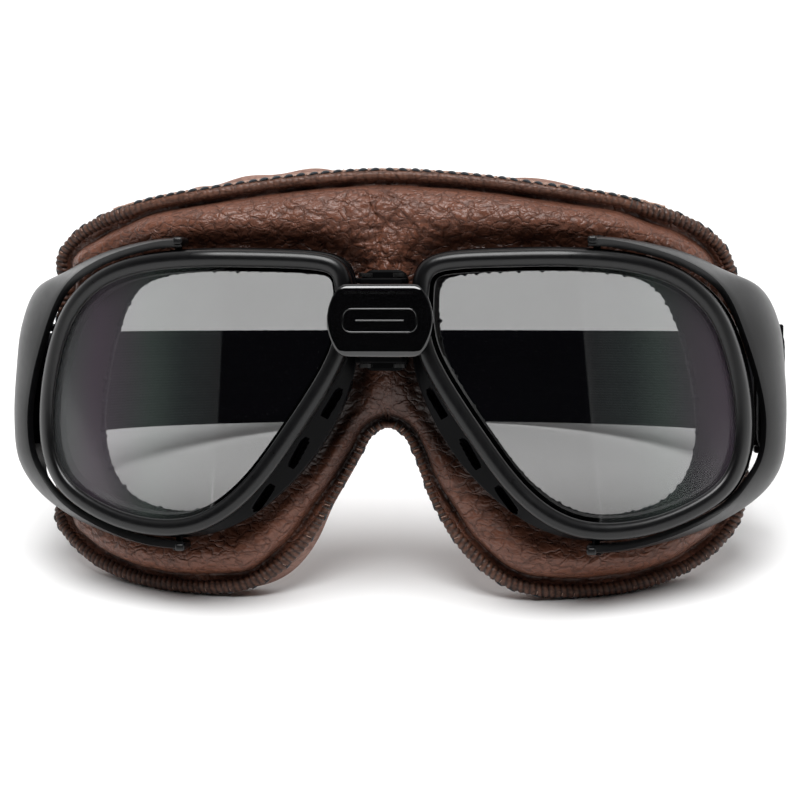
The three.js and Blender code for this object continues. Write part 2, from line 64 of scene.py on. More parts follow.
BACKWARDS = np.array((0.0, 1.0, 0.0))  # towards the face

FRONT_Y = 4
FLAT_HALF_WIDTH = 37
BEND_SLANT = 0.066
MID_Z = -18
BEND_RADIUS = 30
BEND_ANGLE = math.radians(14)
WRAP_RADIUS = 140
LENS_BEND_RADIUS = 12
# Each lens is creased along a line |x| = middle + slope * (z - MID_Z).
CREASE_MIDDLE = {-1: 38.8, 1: 48.2}
CREASE_SLOPE = {-1: -0.05, 1: -0.085}

PER_ROW = 24  # steps between neighbouring points of an outline
RIM_WIDTH = 4.2
LENS_LAP = 1.5
LENS_FRONT = 2.7
LENS_THICK = 1.6
REFLECTION_REACH = 42  # how far the painted reflection changes outwards from the crease
BASE_LIP = 0.8
BASE_FRONT = 5.4
BASE_SIDE = 8.5
BASE_BACK = 12
BASE_FLARE = {-1: 1.3, 1: 0.6}  # how far its outer side stands out towards each wing
BRIDGE_ROOM = (14, 11.9, 14.5)  # x, y and z limits of the room it leaves for the rear plate
SLOT_SHARES = (0.795, 0.84, 0.88)  # places of the vent slots round the ring
SLOT_LENGTH = 7.4
SLOT_WIDTH = 1.7

PIN_X = 4
PIN_Y = 7.2
LUG_HALF = 8
LUG_RADIUS = 2.2
LUG_BORE = 1.15
COVER_RADIUS = 12.4
COVER_HALF_HEIGHT = 8.5
COVER_THICK = 1.4
PLATE_Y = (13.3, 14.5)

WING_THICK = 1.8
WING_FRONT_DEPTH = 2.5
WING_PIVOT_DEPTH = 9.2
WING_PIN_X = 50
STRAP_THICK = 1.5
RIB_PITCH = 1.55
STRAP_WIDTH = 28
STRAP_Z = -17.5
STRAP_X = 94
LAYER_STEP = 1.8
BAR_X = 92.9
LOOP_Y = 46.3
LOOP_RADIUS = 2.5
SLIDER_Y = 64
STRAP_SLOT_Y = (42.2, 45.7)
STRAP_SLOT_HALF = 14.7
CUT_Y = 58  # where the strap's pieces meet behind the loop
TAIL_END_Y = 96

SEAM_DEPTH = 20.8
SEAM_RADIUS = 1.45
SEAM_STEP = 0.2  # between points along the seam roll
STITCH_PITCH = 3
RIDGE_PITCH = 1.5
BOUND_LENGTH = 66  # of the edge from the top middle, where long stitches bind it smoothly
SEAM_SHIFT = -1.8  # the cushion sits a little to the left of the bridge's middle
FRONT_DEPTH = 11.4  # front face of the cushion, back from the crest of the rims
REAR_DEPTH = 28.3
WALL_FRONT = 12.3  # where the lined side of an eye opening starts
WALL_REAR = 25.4
WING_SPREAD = {-1: 1.2, 1: 0.3}  # how much wider each wing's middle stands
WING_TURN_IN = {-1: 1.2, 1: 1.9}  # how far its front edge turns in towards the rim

# Outlines of the right eyepiece as (x, z), point for point alike.
LENS_EDGE = (
    (11.1, 7), (11.9, 10.3), (14.6, 11.6), (28, 12.3), (44, 12.5),
    (59.5, 11.1), (69.4, 7.4), (76.5, 0.5), (80.6, -9.5), (82.8, -21),
    (82.6, -30.8), (79.5, -38), (73, -42.6), (62, -46.6), (50, -47.4),
    (41.5, -44.8), (33, -38), (24, -26), (13.7, -10), (11.2, -2.5),
)
BASE_EDGE = (
    (6.6, 8), (8.3, 13.3), (13.2, 15.9), (28, 16.9), (44, 17),
    (60.6, 15.5), (71.8, 11.1), (80, 3.2), (84.9, -8), (87.2, -21),
    (86.9, -31.8), (83.2, -40.4), (75.4, -46.2), (62.9, -51), (49, -52.2),
    (37, -49.4), (26.4, -42.4), (15.5, -30.4), (7.6, -14), (6.6, -3.5),
)
CUSHION_HOLE = (
    (11.6, 7), (12.6, 9.6), (15.4, 11), (28, 11.9), (43, 12),
    (56.5, 11.1), (64, 8), (68, 2), (71.4, -8), (73.8, -20),
    (74.2, -30), (71.6, -39), (66, -44.6), (58, -47.2), (48, -47.4),
    (40.5, -44.4), (32, -37.4), (23, -25.4), (13.6, -10), (11.8, -2.5),
)
# The cushion's outer edge meets the middle at its first two points and at its last.
CUSHION_MIDDLE = ((0, 12), (0, 26))
CUSHION_EDGE = (
    (0, 35), (21, 33.7), (41, 31),
    (58.5, 28.2), (73, 24.1), (82, 17.6), (86.2, 4), (87.6, -16),
    (88, -34), (86.3, -49), (76.5, -59.2), (62, -64.6), (45, -66),
    (31, -63.8), (20.5, -55.6), (12.6, -43), (7.4, -32), (4.4, -27), (0, -24.9),
)
# Lines of a side wing's outer face, as (x, z, extra depth).
WING_FRONT = (
    (48.2, 19.1, 0), (54, 18.7, 0), (63, 16.8, 0), (70.5, 14.2, 0), (77, 10.5, 0),
    (82.6, 4.4, 0), (87.6, -5, 0), (91, -15, 0), (92.6, -25, 0), (91.4, -34, 0),
    (86.7, -40.9, 0), (79.2, -46.2, 0), (69, -50.8, 0), (58, -53.7, 0), (48.2, -54.5, 0),
)
WING_CROWN = (
    (48.2, 19.65, 4), (54, 19.5, 4), (64, 17.9, 5), (72, 15.7, 6), (80, 12.1, 7),
    (88.5, 7.8, 8), (93.5, -1.5, 8), (95.4, -13, 8), (95.9, -25, 7), (94.8, -35, 7),
    (90.5, -41.8, 8), (81, -48.1, 7), (70, -52.1, 6), (58, -54.6, 5), (48.2, -55, 4),
)
WING_REAR = (
    (48.2, 19.35, 9), (54, 19.2, 9), (64, 17.6, 9), (72, 15, 9), (80, 11.3, 9.5),
    (88.6, 6.3, 13), (92.5, 0.4, 20.5), (93.2, -12.5, 21.5), (93.2, -23, 20.5),
    (92.6, -35.4, 20), (89.4, -40.7, 14.5), (81.2, -47.3, 9.5), (71, -51.7, 9),
    (58, -54.4, 9), (48.2, -54.85, 9),
)
# The strap's outer layer as (x, y), from its straight side run to the middle of the rear.
STRAP_REAR = ((STRAP_X, 82), (STRAP_X, 88), (91.8, 104), (82.5, 128), (64, 149), (36, 165.5),
              (0, 172))


# ---- Small tools ----
def to_frame(points):
    """Points in the goggles' own millimetres, as points of the row frame in metres."""
    x, y, z = np.asarray(points, float).T
    cos, sin = math.cos(LEAN), math.sin(LEAN)
    return np.column_stack((x, y * cos + z * sin, z * cos - y * sin)) * MM + ORIGIN


def frame_point(x, y, z):
    return to_frame([(x, y, z)])[0].tolist()


def smoothstep(low, high, value):
    share = np.clip((value - low) / (high - low), 0, 1)
    return share * share * (3 - 2 * share)


def catmull(points, steps, closed):
    """A centripetal Catmull-Rom curve through the points, with so many steps a stretch."""
    p = np.asarray(points, float)
    if closed:
        p = np.vstack((p[-1], p, p[:2]))
    else:
        p = np.vstack((2 * p[0] - p[1], p, 2 * p[-1] - p[-2]))
    out = []
    share = np.arange(steps)[:, None] / steps
    for a, b, c, d in zip(p, p[1:], p[2:], p[3:]):
        ta, tb, tc = (max(np.linalg.norm(v - u), 1e-6) ** 0.5 for u, v in ((a, b), (b, c), (c, d)))
        m1 = ((b - a) / ta - (c - a) / (ta + tb) + (c - b) / tb) * tb
        m2 = ((c - b) / tb - (d - b) / (tb + tc) + (d - c) / tc) * tb
        s2, s3 = share**2, share**3
        out.append(
            b * (2 * s3 - 3 * s2 + 1) + m1 * (s3 - 2 * s2 + share)
            + c * (3 * s2 - 2 * s3) + m2 * (s3 - s2)
        )
    if not closed:
        out.append(p[-2:-1])
    return np.vstack(out)


def unit(vectors):
    """Each vector over its own length."""
    return vectors / np.linalg.norm(vectors, axis=-1, keepdims=True)


def smooth_closed(values, width):
    """A closed line of values, averaged over a bell of so many steps."""
    reach = int(width * 3)
    bell = np.exp(-0.5 * (np.arange(-reach, reach + 1) / width) ** 2)
    bell /= bell.sum()
    return sum(w * np.roll(values, k, axis=0) for w, k in zip(bell, range(-reach, reach + 1)))


def crest_y(x, z, bend_radius=BEND_RADIUS):
    """Y of the surface that the crests of the rims lie on."""
    x, z = np.asarray(x, float), np.asarray(z, float)
    wide = BEND_RADIUS * math.sin(BEND_ANGLE)
    tight = bend_radius * math.sin(BEND_ANGLE)
    # A tighter bend keeps the same two tangent surfaces.
    start = (BEND_RADIUS - bend_radius) * math.tan(BEND_ANGLE / 2)
    past = np.abs(x) - BEND_SLANT * (z - MID_Z) - FLAT_HALF_WIDTH
    inside = np.clip(past - start, 0, tight)
    bend = bend_radius - np.sqrt(bend_radius**2 - inside**2)
    ramp_start = start + tight
    chord = np.clip(past - ramp_start, 0, max(wide - ramp_start, 0)) * math.tan(BEND_ANGLE)
    sine = math.sin(BEND_ANGLE) + np.clip(past - wide, 0, WRAP_RADIUS * 0.7) / WRAP_RADIUS
    wrap = WRAP_RADIUS * (math.cos(BEND_ANGLE) - np.sqrt(1 - sine**2))
    return FRONT_Y + bend + chord + wrap


def upright(flat, y):
    """(x, z) points as 3-D points at the depth y, which may be one value a point."""
    return np.column_stack((flat[:, 0], np.broadcast_to(y, len(flat)), flat[:, 1]))


def behind_crest(flat, depth):
    """(x, z) points as 3-D points at a depth behind the crest of the rims."""
    return upright(flat, crest_y(*flat.T) + depth)


def grid_faces(rows, columns, wrap_rows=False, wrap_columns=False):
    """Quads of a grid whose point (row, column) is number row * columns + column."""
    r, c = np.meshgrid(
        np.arange(rows if wrap_rows else rows - 1),
        np.arange(columns if wrap_columns else columns - 1), indexing="ij",
    )
    r, c = r.ravel(), c.ravel()
    r2, c2 = (r + 1) % rows, (c + 1) % columns
    return np.column_stack((r * columns + c, r * columns + c2, r2 * columns + c2, r2 * columns + c))


def mark_sharp(mesh, degrees):
    bm = bmesh.new()
    bm.from_mesh(mesh)
    limit = math.radians(degrees)
    for face in bm.faces:
        face.smooth = True
    for edge in bm.edges:
        edge.smooth = len(edge.link_faces) != 2 or edge.calc_face_angle(0) < limit
    bm.to_mesh(mesh)
    bm.free()


def shift_share(x, z, side):
    """How much of the cushion's sideways shift a point takes."""
    at_arch = smoothstep(-46, -30, z) * smoothstep(24, 15, x) * smoothstep(-8, -16, z)
    # Beside the left wing the edge stays inside, to leave the wing room to swing in.
    by_wing = smoothstep(50, 62, x) * (side < 0) * smoothstep(-53, -44, z) * smoothstep(16, 8, z)
    return 1 - 0.7 * at_arch - 1.5 * by_wing


def new_object(name, data):
    obj = bpy.data.objects.new(name, data)
    bpy.context.scene.collection.objects.link(obj)
    return obj


def add_piece(name, points, faces, material, side=1, sharp=40, uv=None, shift=0, painted_shade=None):
    """A mesh object. Its rest attribute holds each point's place in the goggles' millimetres.

    shift is how far along X a point moves after mirroring, less where shift_share says so;
    the last argument is how much painted shade darkens it, 0 to 1.
    """
    points = np.array(points, float)
    faces = np.asarray(faces)
    points[:, 0] = points[:, 0] * side + shift * shift_share(points[:, 0], points[:, 2], side)
    if side < 0:
        faces = faces[:, ::-1]
    mesh = bpy.data.meshes.new(name)
    placed = to_frame(points)
    placed[:, 2] = np.maximum(placed[:, 2], 0.05 * MM)
    mesh.from_pydata(placed.tolist(), [], faces.tolist())
    mesh.validate()
    bm = bmesh.new()
    bm.from_mesh(mesh)
    bmesh.ops.recalc_face_normals(bm, faces=bm.faces)
    bm.to_mesh(mesh)
    bm.free()
    rest = mesh.attributes.new("rest", "FLOAT_VECTOR", "POINT")
    rest.data.foreach_set("vector", points.astype(np.float32).ravel())
    if painted_shade is not None:
        tones = mesh.attributes.new("painted_shade", "FLOAT", "POINT")
        tones.data.foreach_set("value", np.asarray(painted_shade, np.float32))
    if uv is not None:
        layer = mesh.uv_layers.new(name="weave")
        corner = np.empty(len(mesh.loops), np.int32)
        mesh.loops.foreach_get("vertex_index", corner)
        layer.data.foreach_set("uv", np.asarray(uv, np.float32)[corner].ravel())
    mark_sharp(mesh, sharp)
    mesh.materials.append(material)
    return new_object(name, mesh)


def apply_modifiers(obj):
    mesh = bpy.data.meshes.new_from_object(
        obj.evaluated_get(bpy.context.evaluated_depsgraph_get())
    )
    obj.modifiers.clear()
    obj.data = mesh


def rounded_box(x, y, z, radius=0.3, segments=3):
    """Points and faces of a box with rounded edges; each span is (low, high)."""
    bm = bmesh.new()
    bmesh.ops.create_cube(bm, size=1)
    for vertex in bm.verts:
        spans = zip(vertex.co, (x, y, z))
        vertex.co = Vector([low if at < 0 else high for at, (low, high) in spans])
    bmesh.ops.bevel(
        bm, geom=list(bm.edges), offset=radius, segments=segments, profile=0.5, affect="EDGES",
    )
    bmesh.ops.triangulate(bm, faces=[f for f in bm.faces if len(f.verts) != 4])
    points = np.array([v.co for v in bm.verts])
    faces = [[v.index for v in f.verts] for f in bm.faces]
    bm.free()
    return points, [f + f[-1:] if len(f) == 3 else f for f in faces]


def merge(parts):
    """Several (points, faces) as one."""
    points, faces, start = [], [], 0
    for some_points, some_faces in parts:
        points.append(np.asarray(some_points, float))
        faces.append(np.asarray(some_faces) + start)
        start += len(some_points)
    return np.vstack(points), np.vstack(faces)


def rings(centres, radius, across, lift, sides):
    """Points round each centre, in the plane of its two unit vectors, across first."""
    angle = np.arange(sides) / sides * 2 * math.pi
    around = np.cos(angle)[:, None] * across[:, None] + np.sin(angle)[:, None] * lift[:, None]
    return (centres[:, None] + radius[:, :, None] * around).reshape(-1, 3)


def tube(path, radius, sides, closed=False):
    """Points and faces of a round tube along a path; radius may be one value a point."""
    path = np.asarray(path, float)
    if closed:
        along = np.roll(path, -1, axis=0) - np.roll(path, 1, axis=0)
    else:
        along = np.gradient(path, axis=0)
    along = unit(along)
    across = np.cross(along, BACKWARDS)
    length = np.linalg.norm(across, axis=1)[:, None]
    across = np.where(length > 1e-3, across / np.maximum(length, 1e-9), (1, 0, 0))
    radius = np.broadcast_to(np.asarray(radius, float), (len(path),))[:, None]
    points = rings(path, radius, across, np.cross(across, along), sides)
    return points, grid_faces(len(path), sides, closed, True)


def turned(x, y, z, radius, sides, closed=False):
    """Points and faces of a shape turned about an upright line, from its heights and radii."""
    axis = np.column_stack((np.full(len(z), x), np.full(len(z), y), z))
    across = np.broadcast_to((1.0, 0.0, 0.0), axis.shape)
    lift = np.broadcast_to(BACKWARDS, axis.shape)
    points = rings(axis, np.asarray(radius)[:, None], across, lift, sides)
    return points, grid_faces(len(z), sides, closed, True)


# ---- Materials ----
class Nodes:
    """The node tree of a material or of the world, under construction."""

    def __init__(self, owner):
        owner.use_nodes = True
        self.tree = owner.node_tree

    def feed(self, made, inputs):
        """Links each input to a socket, or sets it to a plain value."""
        for key, value in inputs.items():
            if isinstance(value, bpy.types.NodeSocket):
                self.tree.links.new(value, made.inputs[key])
            else:
                made.inputs[key].default_value = value

    def node(self, kind, inputs=None, **settings):
        made = self.tree.nodes.new(kind)
        for key, value in settings.items():
            setattr(made, key, value)
        self.feed(made, inputs or {})
        return made

    def math(self, operation, *values):
        return self.node("ShaderNodeMath", dict(enumerate(values)), operation=operation).outputs[0]

    def map_range(self, value, source, target=(0, 1), **settings):
        """A value moved from one range to another, and kept within it."""
        inputs = {"Value": value, "From Min": source[0], "From Max": source[1],
                  "To Min": target[0], "To Max": target[1]}
        return self.node("ShaderNodeMapRange", inputs, **settings).outputs[0]


class Shader(Nodes):
    """A material under construction, around one Principled BSDF."""

    def __init__(self, name, **values):
        self.material = bpy.data.materials.new(name)
        super().__init__(self.material)
        self.bsdf = self.tree.nodes["Principled BSDF"]
        for key, value in values.items():
            label = key.replace("_", " ").title().replace("Ior", "IOR")
            self.bsdf.inputs[label].default_value = value

    def link(self, socket, name):
        self.feed(self.bsdf, {name: socket})

    def rest(self):
        return self.node("ShaderNodeAttribute", attribute_name="rest").outputs["Vector"]

    def noise(self, vector, scale, detail=4.0, roughness=0.5, distortion=0.0):
        inputs = {"Vector": vector, "Scale": scale, "Detail": detail, "Roughness": roughness,
                  "Distortion": distortion}
        return self.node("ShaderNodeTexNoise", inputs).outputs["Fac"]

    def cells(self, vector, scale, feature):
        inputs = {"Vector": vector, "Scale": scale}
        return self.node("ShaderNodeTexVoronoi", inputs, feature=feature).outputs["Distance"]

    def ramp(self, value, stops):
        made = self.node("ShaderNodeValToRGB", {"Fac": value})
        elements = made.color_ramp.elements
        while len(elements) < len(stops):
            elements.new(0.5)
        for element, (position, color) in zip(elements, stops):
            element.position = position
            grey = (color,) * 3 if isinstance(color, (int, float)) else color
            element.color = (*grey, 1)
        return made.outputs["Color"]

    def mix(self, share, *colors):
        a, b = (c if isinstance(c, bpy.types.NodeSocket) else (*c, 1) for c in colors)
        return self.node("ShaderNodeMix", {0: share, 6: a, 7: b}, data_type="RGBA").outputs[2]

    def finish(self, color, height, strength, distance):
        """The material, with its colour, and its surface raised by the height in millimetres."""
        inputs = {"Height": height, "Strength": strength, "Distance": distance * MM}
        self.link(color, "Base Color")
        self.link(self.node("ShaderNodeBump", inputs).outputs["Normal"], "Normal")
        return self.material


def plastic(name, color, roughness, grain, specular):
    """Moulded black plastic: a faint grain, and roughness that varies a little."""
    shader = Shader(name, roughness=roughness, specular_ior_level=specular)
    rest = shader.rest()
    worn = shader.noise(rest, 0.06, 5, 0.6)
    spread = shader.map_range(shader.noise(rest, 0.5, 3), (0, 1), (roughness - 0.06, roughness + 0.06))
    shader.link(spread, "Roughness")
    color = shader.mix(worn, color, tuple(c * 1.5 for c in color))
    return shader.finish(color, shader.noise(rest, 5, 2), grain, 0.02)


def gloss_black():
    shader = Shader("cover_gloss_black", coat_weight=0.7, coat_roughness=0.05)
    rest = shader.rest()
    scratches = shader.noise(rest, 1.4, 8, 0.7, 1.5)
    shader.link(shader.ramp(scratches, ((0.4, 0.1), (0.75, 0.2))), "Roughness")
    color = shader.mix(shader.noise(rest, 0.3), (0.0008, 0.0008, 0.001), (0.002, 0.002, 0.0022))
    return shader.finish(color, shader.noise(rest, 0.25, 1), 0.1, 0.03)


def smoke_lens():
    """Smoke-tinted lens, with a painted reflection of the bright sides, lighter and faintly coloured,
    from its crease to its outer end.
    """
    shader = Shader("lens_smoke", roughness=0.1, alpha=0.5, ior=1.7)
    rest = shader.rest()
    split = shader.node("ShaderNodeSeparateXYZ", {0: rest})
    height = shader.math("ADD", split.outputs[2], -MID_Z)
    sides = []
    for side in (-1, 1):
        past = shader.math("SUBTRACT", shader.math("MULTIPLY", split.outputs[0], side),
                           shader.math("MULTIPLY", height, CREASE_SLOPE[side]))
        sides.append(shader.math("ADD", past, -CREASE_MIDDLE[side]))
    past = shader.math("MAXIMUM", *sides)
    wander = shader.math("MULTIPLY", shader.noise(rest, 0.05, 2), 5)
    wander = shader.math("MULTIPLY", wander, shader.math("GREATER_THAN", past, 0))
    share = shader.map_range(shader.math("ADD", past, wander), (0, REFLECTION_REACH))
    # Painted reflection: from the crease outwards the colour turns from the dark smoke tint to a
    # lighter, faintly coloured grey, standing in for the bright sides reflected in the curved lens.
    painted_reflection = shader.ramp(share, (
        (0.0, 0.0004), (0.015, 0.018), (0.3, (0.024, 0.029, 0.028)), (0.48, (0.045, 0.058, 0.052)),
        (0.66, (0.062, 0.057, 0.064)), (0.84, (0.078, 0.062, 0.079)), (1.0, (0.07, 0.073, 0.075)),
    ))
    shader.link(painted_reflection, "Base Color")
    return shader.material


def leather(name, low, high, roughness, pebble, hollow_shade=0.7):
    """Leather: rounded pebbles of about 1 mm, split into larger fields by fine creases."""
    shader = Shader(name, specular_ior_level=0.4)
    rest = shader.rest()
    wander = shader.node("ShaderNodeTexNoise", {"Vector": rest, "Scale": 0.3, "Detail": 3.0})
    scaled = shader.node("ShaderNodeVectorMath", {0: wander.outputs["Color"], 1: (3.5, 3.5, 3.5)},
                         operation="MULTIPLY").outputs[0]
    bent = shader.node("ShaderNodeVectorMath", {0: rest, 1: scaled}, operation="ADD").outputs[0]
    stretched = shader.node("ShaderNodeVectorMath", {0: bent, 1: (0.75, 1.0, 1.25)},
                            operation="MULTIPLY").outputs[0]
    fields = shader.cells(stretched, 0.34, "DISTANCE_TO_EDGE")
    pebbles = shader.cells(stretched, 0.8, "F1")
    fine = shader.noise(rest, 3.5, 4, 0.6)
    field_crease = shader.ramp(fields, ((0.0, 0.0), (0.05, 0.55), (0.16, 1.0)))
    rounded = shader.ramp(pebbles, ((0.0, 1.0), (0.35, 0.85), (0.75, 0.0)))
    height = shader.math("ADD", shader.math("MULTIPLY", field_crease, 0.45),
                         shader.math("MULTIPLY", rounded, 0.42))
    height = shader.math("ADD", height, shader.math("MULTIPLY", fine, 0.13))
    patches = shader.noise(rest, 0.06, 4, 0.6)
    color = shader.mix(shader.ramp(patches, ((0.3, 0.0), (0.7, 1.0))), low, high)
    # Painted shade: the low parts of the grain, its creases and the hollows between pebbles, are
    # darkened.
    dark = tuple(c * hollow_shade for c in low)
    color = shader.mix(shader.ramp(height, ((0.3, 0.0), (0.7, 1.0))), dark, color)
    # Painted shade: a per-point attribute of the mesh darkens the leather towards near black.
    painted_darkness = shader.node("ShaderNodeAttribute", attribute_name="painted_shade").outputs["Fac"]
    color = shader.mix(painted_darkness, color, tuple(c * 0.12 for c in low))
    shader.link(shader.ramp(height, ((0.2, roughness + 0.2), (0.9, roughness))), "Roughness")
    return shader.finish(color, height, pebble, 0.4)


def foam_lining():
    shader = Shader("cushion_inner_wall", roughness=0.95)
    pores = shader.cells(shader.rest(), 2.2, "F1")
    # Painted shade: darker in the pores.
    color = shader.mix(pores, (0.016, 0.015, 0.015), (0.024, 0.022, 0.021))
    return shader.finish(color, pores, 0.06, 0.2)


def thread_material(name, color):
    shader = Shader(name, roughness=0.7, sheen_weight=0.4)
    inputs = {"Vector": shader.rest(), "Scale": 1.6, "Distortion": 2.0}
    twist = shader.node("ShaderNodeTexWave", inputs, bands_direction="DIAGONAL").outputs["Fac"]
    # Painted shade: darker in the grooves of the twist.
    return shader.finish(shader.mix(twist, tuple(c * 0.5 for c in color), color), twist, 0.5, 0.1)


def webbing_material():
    """Ribbed elastic: cords of rubber along the strap, wrapped in woven thread."""
    shader = Shader("strap_webbing", roughness=0.9, specular_ior_level=0.08)
    uv = shader.node("ShaderNodeUVMap", uv_map="weave").outputs["UV"]
    split = shader.node("ShaderNodeSeparateXYZ", {0: uv})
    ribs = shader.math("SINE", shader.math("MULTIPLY", split.outputs[1], math.pi * 2 / RIB_PITCH))
    picks = shader.math("SINE", shader.math("MULTIPLY", split.outputs[0], math.pi * 2 / 0.8))
    ribs = shader.math("ABSOLUTE", ribs)
    weave = shader.math("ADD", shader.math("MULTIPLY", ribs, 0.75),
                        shader.math("MULTIPLY", picks, 0.07))
    fuzz = shader.noise(shader.rest(), 3, 4)
    height = shader.math("ADD", weave, shader.math("MULTIPLY", fuzz, 0.2))
    # Painted shade: darker in the grooves between the ribs.
    color = shader.mix(shader.ramp(height, ((0.1, 0.0), (0.9, 1.0))),
                       (0.0018, 0.0018, 0.003), (0.0032, 0.0032, 0.006))
    return shader.finish(color, height, 0.2, 0.2)


def steel_material():
    shader = Shader("pin_blackened_steel", metallic=1.0)
    brushed = shader.noise(shader.rest(), 3, 6, 0.7)
    shader.link(shader.mix(brushed, (0.03, 0.03, 0.03), (0.09, 0.09, 0.09)), "Base Color")
    shader.link(shader.ramp(brushed, ((0.3, 0.3), (0.7, 0.5))), "Roughness")
    return shader.material


satin = plastic("frame_satin_black", (0.002, 0.002, 0.0023), 0.3, 0.15, 0.42)
wing_satin = plastic("wing_satin_black", (0.0015, 0.0015, 0.0018), 0.37, 0.2, 0.45)
matt = plastic("frame_matt_black", (0.0012, 0.0012, 0.0015), 0.34, 0.25, 0.08)
tab_black = plastic("bracket_black", (0.0006, 0.0006, 0.0008), 0.45, 0.1, 0.04)
gloss = gloss_black()
smoke = smoke_lens()
front_leather = leather("leather_pebbled_brown", (0.125, 0.045, 0.025), (0.18, 0.07, 0.042),
                        0.31, 0.85)
# The back leather's colours are lighter than the front's; part of that lightness is painted sheen from
# the light above.
back_leather = leather("leather_smooth_brown", (0.24, 0.13, 0.098), (0.32, 0.185, 0.145), 0.42,
                       0.12, 0.85)
roll_leather = leather("leather_seam_roll", (0.1, 0.04, 0.023), (0.17, 0.075, 0.046), 0.4, 0.45)
inner_wall = foam_lining()
dark_thread = thread_material("thread_blue_black", (0.018, 0.026, 0.036))
tan_thread = thread_material("thread_tan", (0.5, 0.3, 0.22))
brown_thread = thread_material("thread_dark_brown", (0.02, 0.011, 0.008))
webbing = webbing_material()
steel = steel_material()

# ---- Outlines ----
lens_edge, base_edge, hole_edge = (
    smooth_closed(catmull(points, PER_ROW, True), PER_ROW * 0.3)
    for points in (LENS_EDGE, BASE_EDGE, CUSHION_HOLE)
)
away = unit(base_edge - lens_edge)
AROUND = len(lens_edge)


def seam_line():
    """The whole outer edge of the cushion, both sides, from the top middle clockwise."""
    right = list(CUSHION_EDGE)
    left = [(-x, z) for x, z in right[-2:0:-1]]
    return catmull(right + left, PER_ROW, True)


whole_seam = seam_line()
half_seam = whole_seam[: (len(CUSHION_EDGE) - 1) * PER_ROW + 1]
half_seam[0, 0] = half_seam[-1, 0] = 0


def cushion_outline():
    """The outer edge of the cushion's right half, point for point with the other outlines."""
    stops = [CUSHION_EDGE[-1], *CUSHION_MIDDLE, CUSHION_EDGE[0]]
    middle = [
        np.linspace(a, b, PER_ROW, endpoint=False) for a, b in zip(stops, stops[1:])
    ]
    after_last, first, second = middle
    # The three stretches of the arch over the nose share two stretches of the other outlines.
    arch = (len(CUSHION_EDGE) - 4) * PER_ROW
    number = np.concatenate((
        np.arange(arch), np.linspace(arch, len(half_seam) - 1, 2 * PER_ROW, endpoint=False),
    ))
    seam = [np.interp(number, np.arange(len(half_seam)), half_seam[:, k]) for k in (0, 1)]
    return np.vstack((first, second, np.column_stack(seam), after_last))


cushion_edge = cushion_outline()


def distance_to(line, points):
    """Distance from each (x, z) point to a line of points, and the nearest one's number."""
    near = np.empty(len(points))
    number = np.empty(len(points), int)
    for start in range(0, len(points), 2000):
        gap = np.linalg.norm(points[start:start + 2000, None] - line[None], axis=2)
        number[start:start + 2000] = gap.argmin(axis=1)
        near[start:start + 2000] = gap.min(axis=1)
    return near, number


def lengths_along(line, closed=True):
    after = np.roll(line, -1, axis=0) if closed else line[1:]
    before = line if closed else line[:-1]
    return np.concatenate(([0], np.cumsum(np.linalg.norm(after - before, axis=1))))


# ---- Eyepieces ----
def ring_points(section):
    """Points of a ring whose cross-section is a list of (share, offset, depth)."""
    rows = []
    for share, offset, depth in section:
        flat = lens_edge + (base_edge - lens_edge) * share + away * offset
        rows.append(behind_crest(flat, depth))
    return np.array(rows)


def rim_section():
    """Half round in front, with a small step where it laps over the lens."""
    arc = []
    for angle in np.linspace(math.pi, 0, 15):
        offset = RIM_WIDTH / 2 + math.cos(angle) * (RIM_WIDTH / 2 - 0.05)
        arc.append((0, offset, 2.1 - math.sin(angle) ** 0.8 * 2.1))
    back = [(0, RIM_WIDTH, 3.5), (0, RIM_WIDTH - 0.1, 5), (0, 2, 5), (0, 2, 2.35), (0, 0.3, 2.35)]
    return arc + back


def add_rim(side, name):
    section = rim_section()
    points = ring_points(section).reshape(-1, 3)
    return add_piece(name, points, grid_faces(len(section), AROUND, True, True), satin, side)


def slot_recess(flat):
    """How deep the vent slots go at each (x, z) point of the base frame."""
    deep = np.zeros(len(flat))
    for share in SLOT_SHARES:
        index = int(share * AROUND)
        middle = lens_edge[index] + away[index] * (RIM_WIDTH + SLOT_WIDTH + 0.2)
        across = away[index]
        along = np.array((-across[1], across[0]))
        offset = flat - middle
        u, v = np.abs(offset @ along), np.abs(offset @ across)
        core = (SLOT_LENGTH - SLOT_WIDTH) / 2
        distance = np.hypot(np.maximum(u - core, 0), v) - SLOT_WIDTH / 2
        deep = np.maximum(deep, smoothstep(0.12, -0.22, distance) * 3.4)
    return deep


def add_base(side, name):
    section = [(0, -BASE_LIP, 4.7), (0, 1.9, 4.7), (0, 2.1, 5.6), (0, RIM_WIDTH + 0.2, 5.6)]
    front = len(section)
    for share in np.linspace(0, 1, 26):
        offset = (RIM_WIDTH + 0.3) * (1 - share)
        section.append((share, offset, BASE_FRONT + 0.3 + (BASE_SIDE - BASE_FRONT - 1) * share))
    section += [(1, 0.15, 8), (1, 0.25, 8.7), (1, 0.25, 11.5), (1, -0.2, BASE_BACK)]
    section += [(0, -BASE_LIP, BASE_BACK), (0, -BASE_LIP, 8)]
    rows = ring_points(section)
    for row in rows[front:front + 26]:
        row[:, 1] += slot_recess(row[:, [0, 2]])
    # The outer side flares towards the wing.
    x, z = base_edge.T
    flare = BASE_FLARE[side] * smoothstep(72, 82, x) * smoothstep(-52, -44, z)
    for row in rows[-6:-3]:
        row[:, [0, 2]] += away * flare[:, None]
    points = rows.reshape(-1, 3)
    # Cut back beside the bridge, so that the eyepiece folds clear of the rear plate.
    by_bridge = (points[:, 0] < BRIDGE_ROOM[0]) & (np.abs(points[:, 2]) < BRIDGE_ROOM[2])
    points[by_bridge, 1] = np.minimum(points[by_bridge, 1], BRIDGE_ROOM[1])
    return add_piece(name, points, grid_faces(len(section), AROUND, True, True), matt, side, 50)


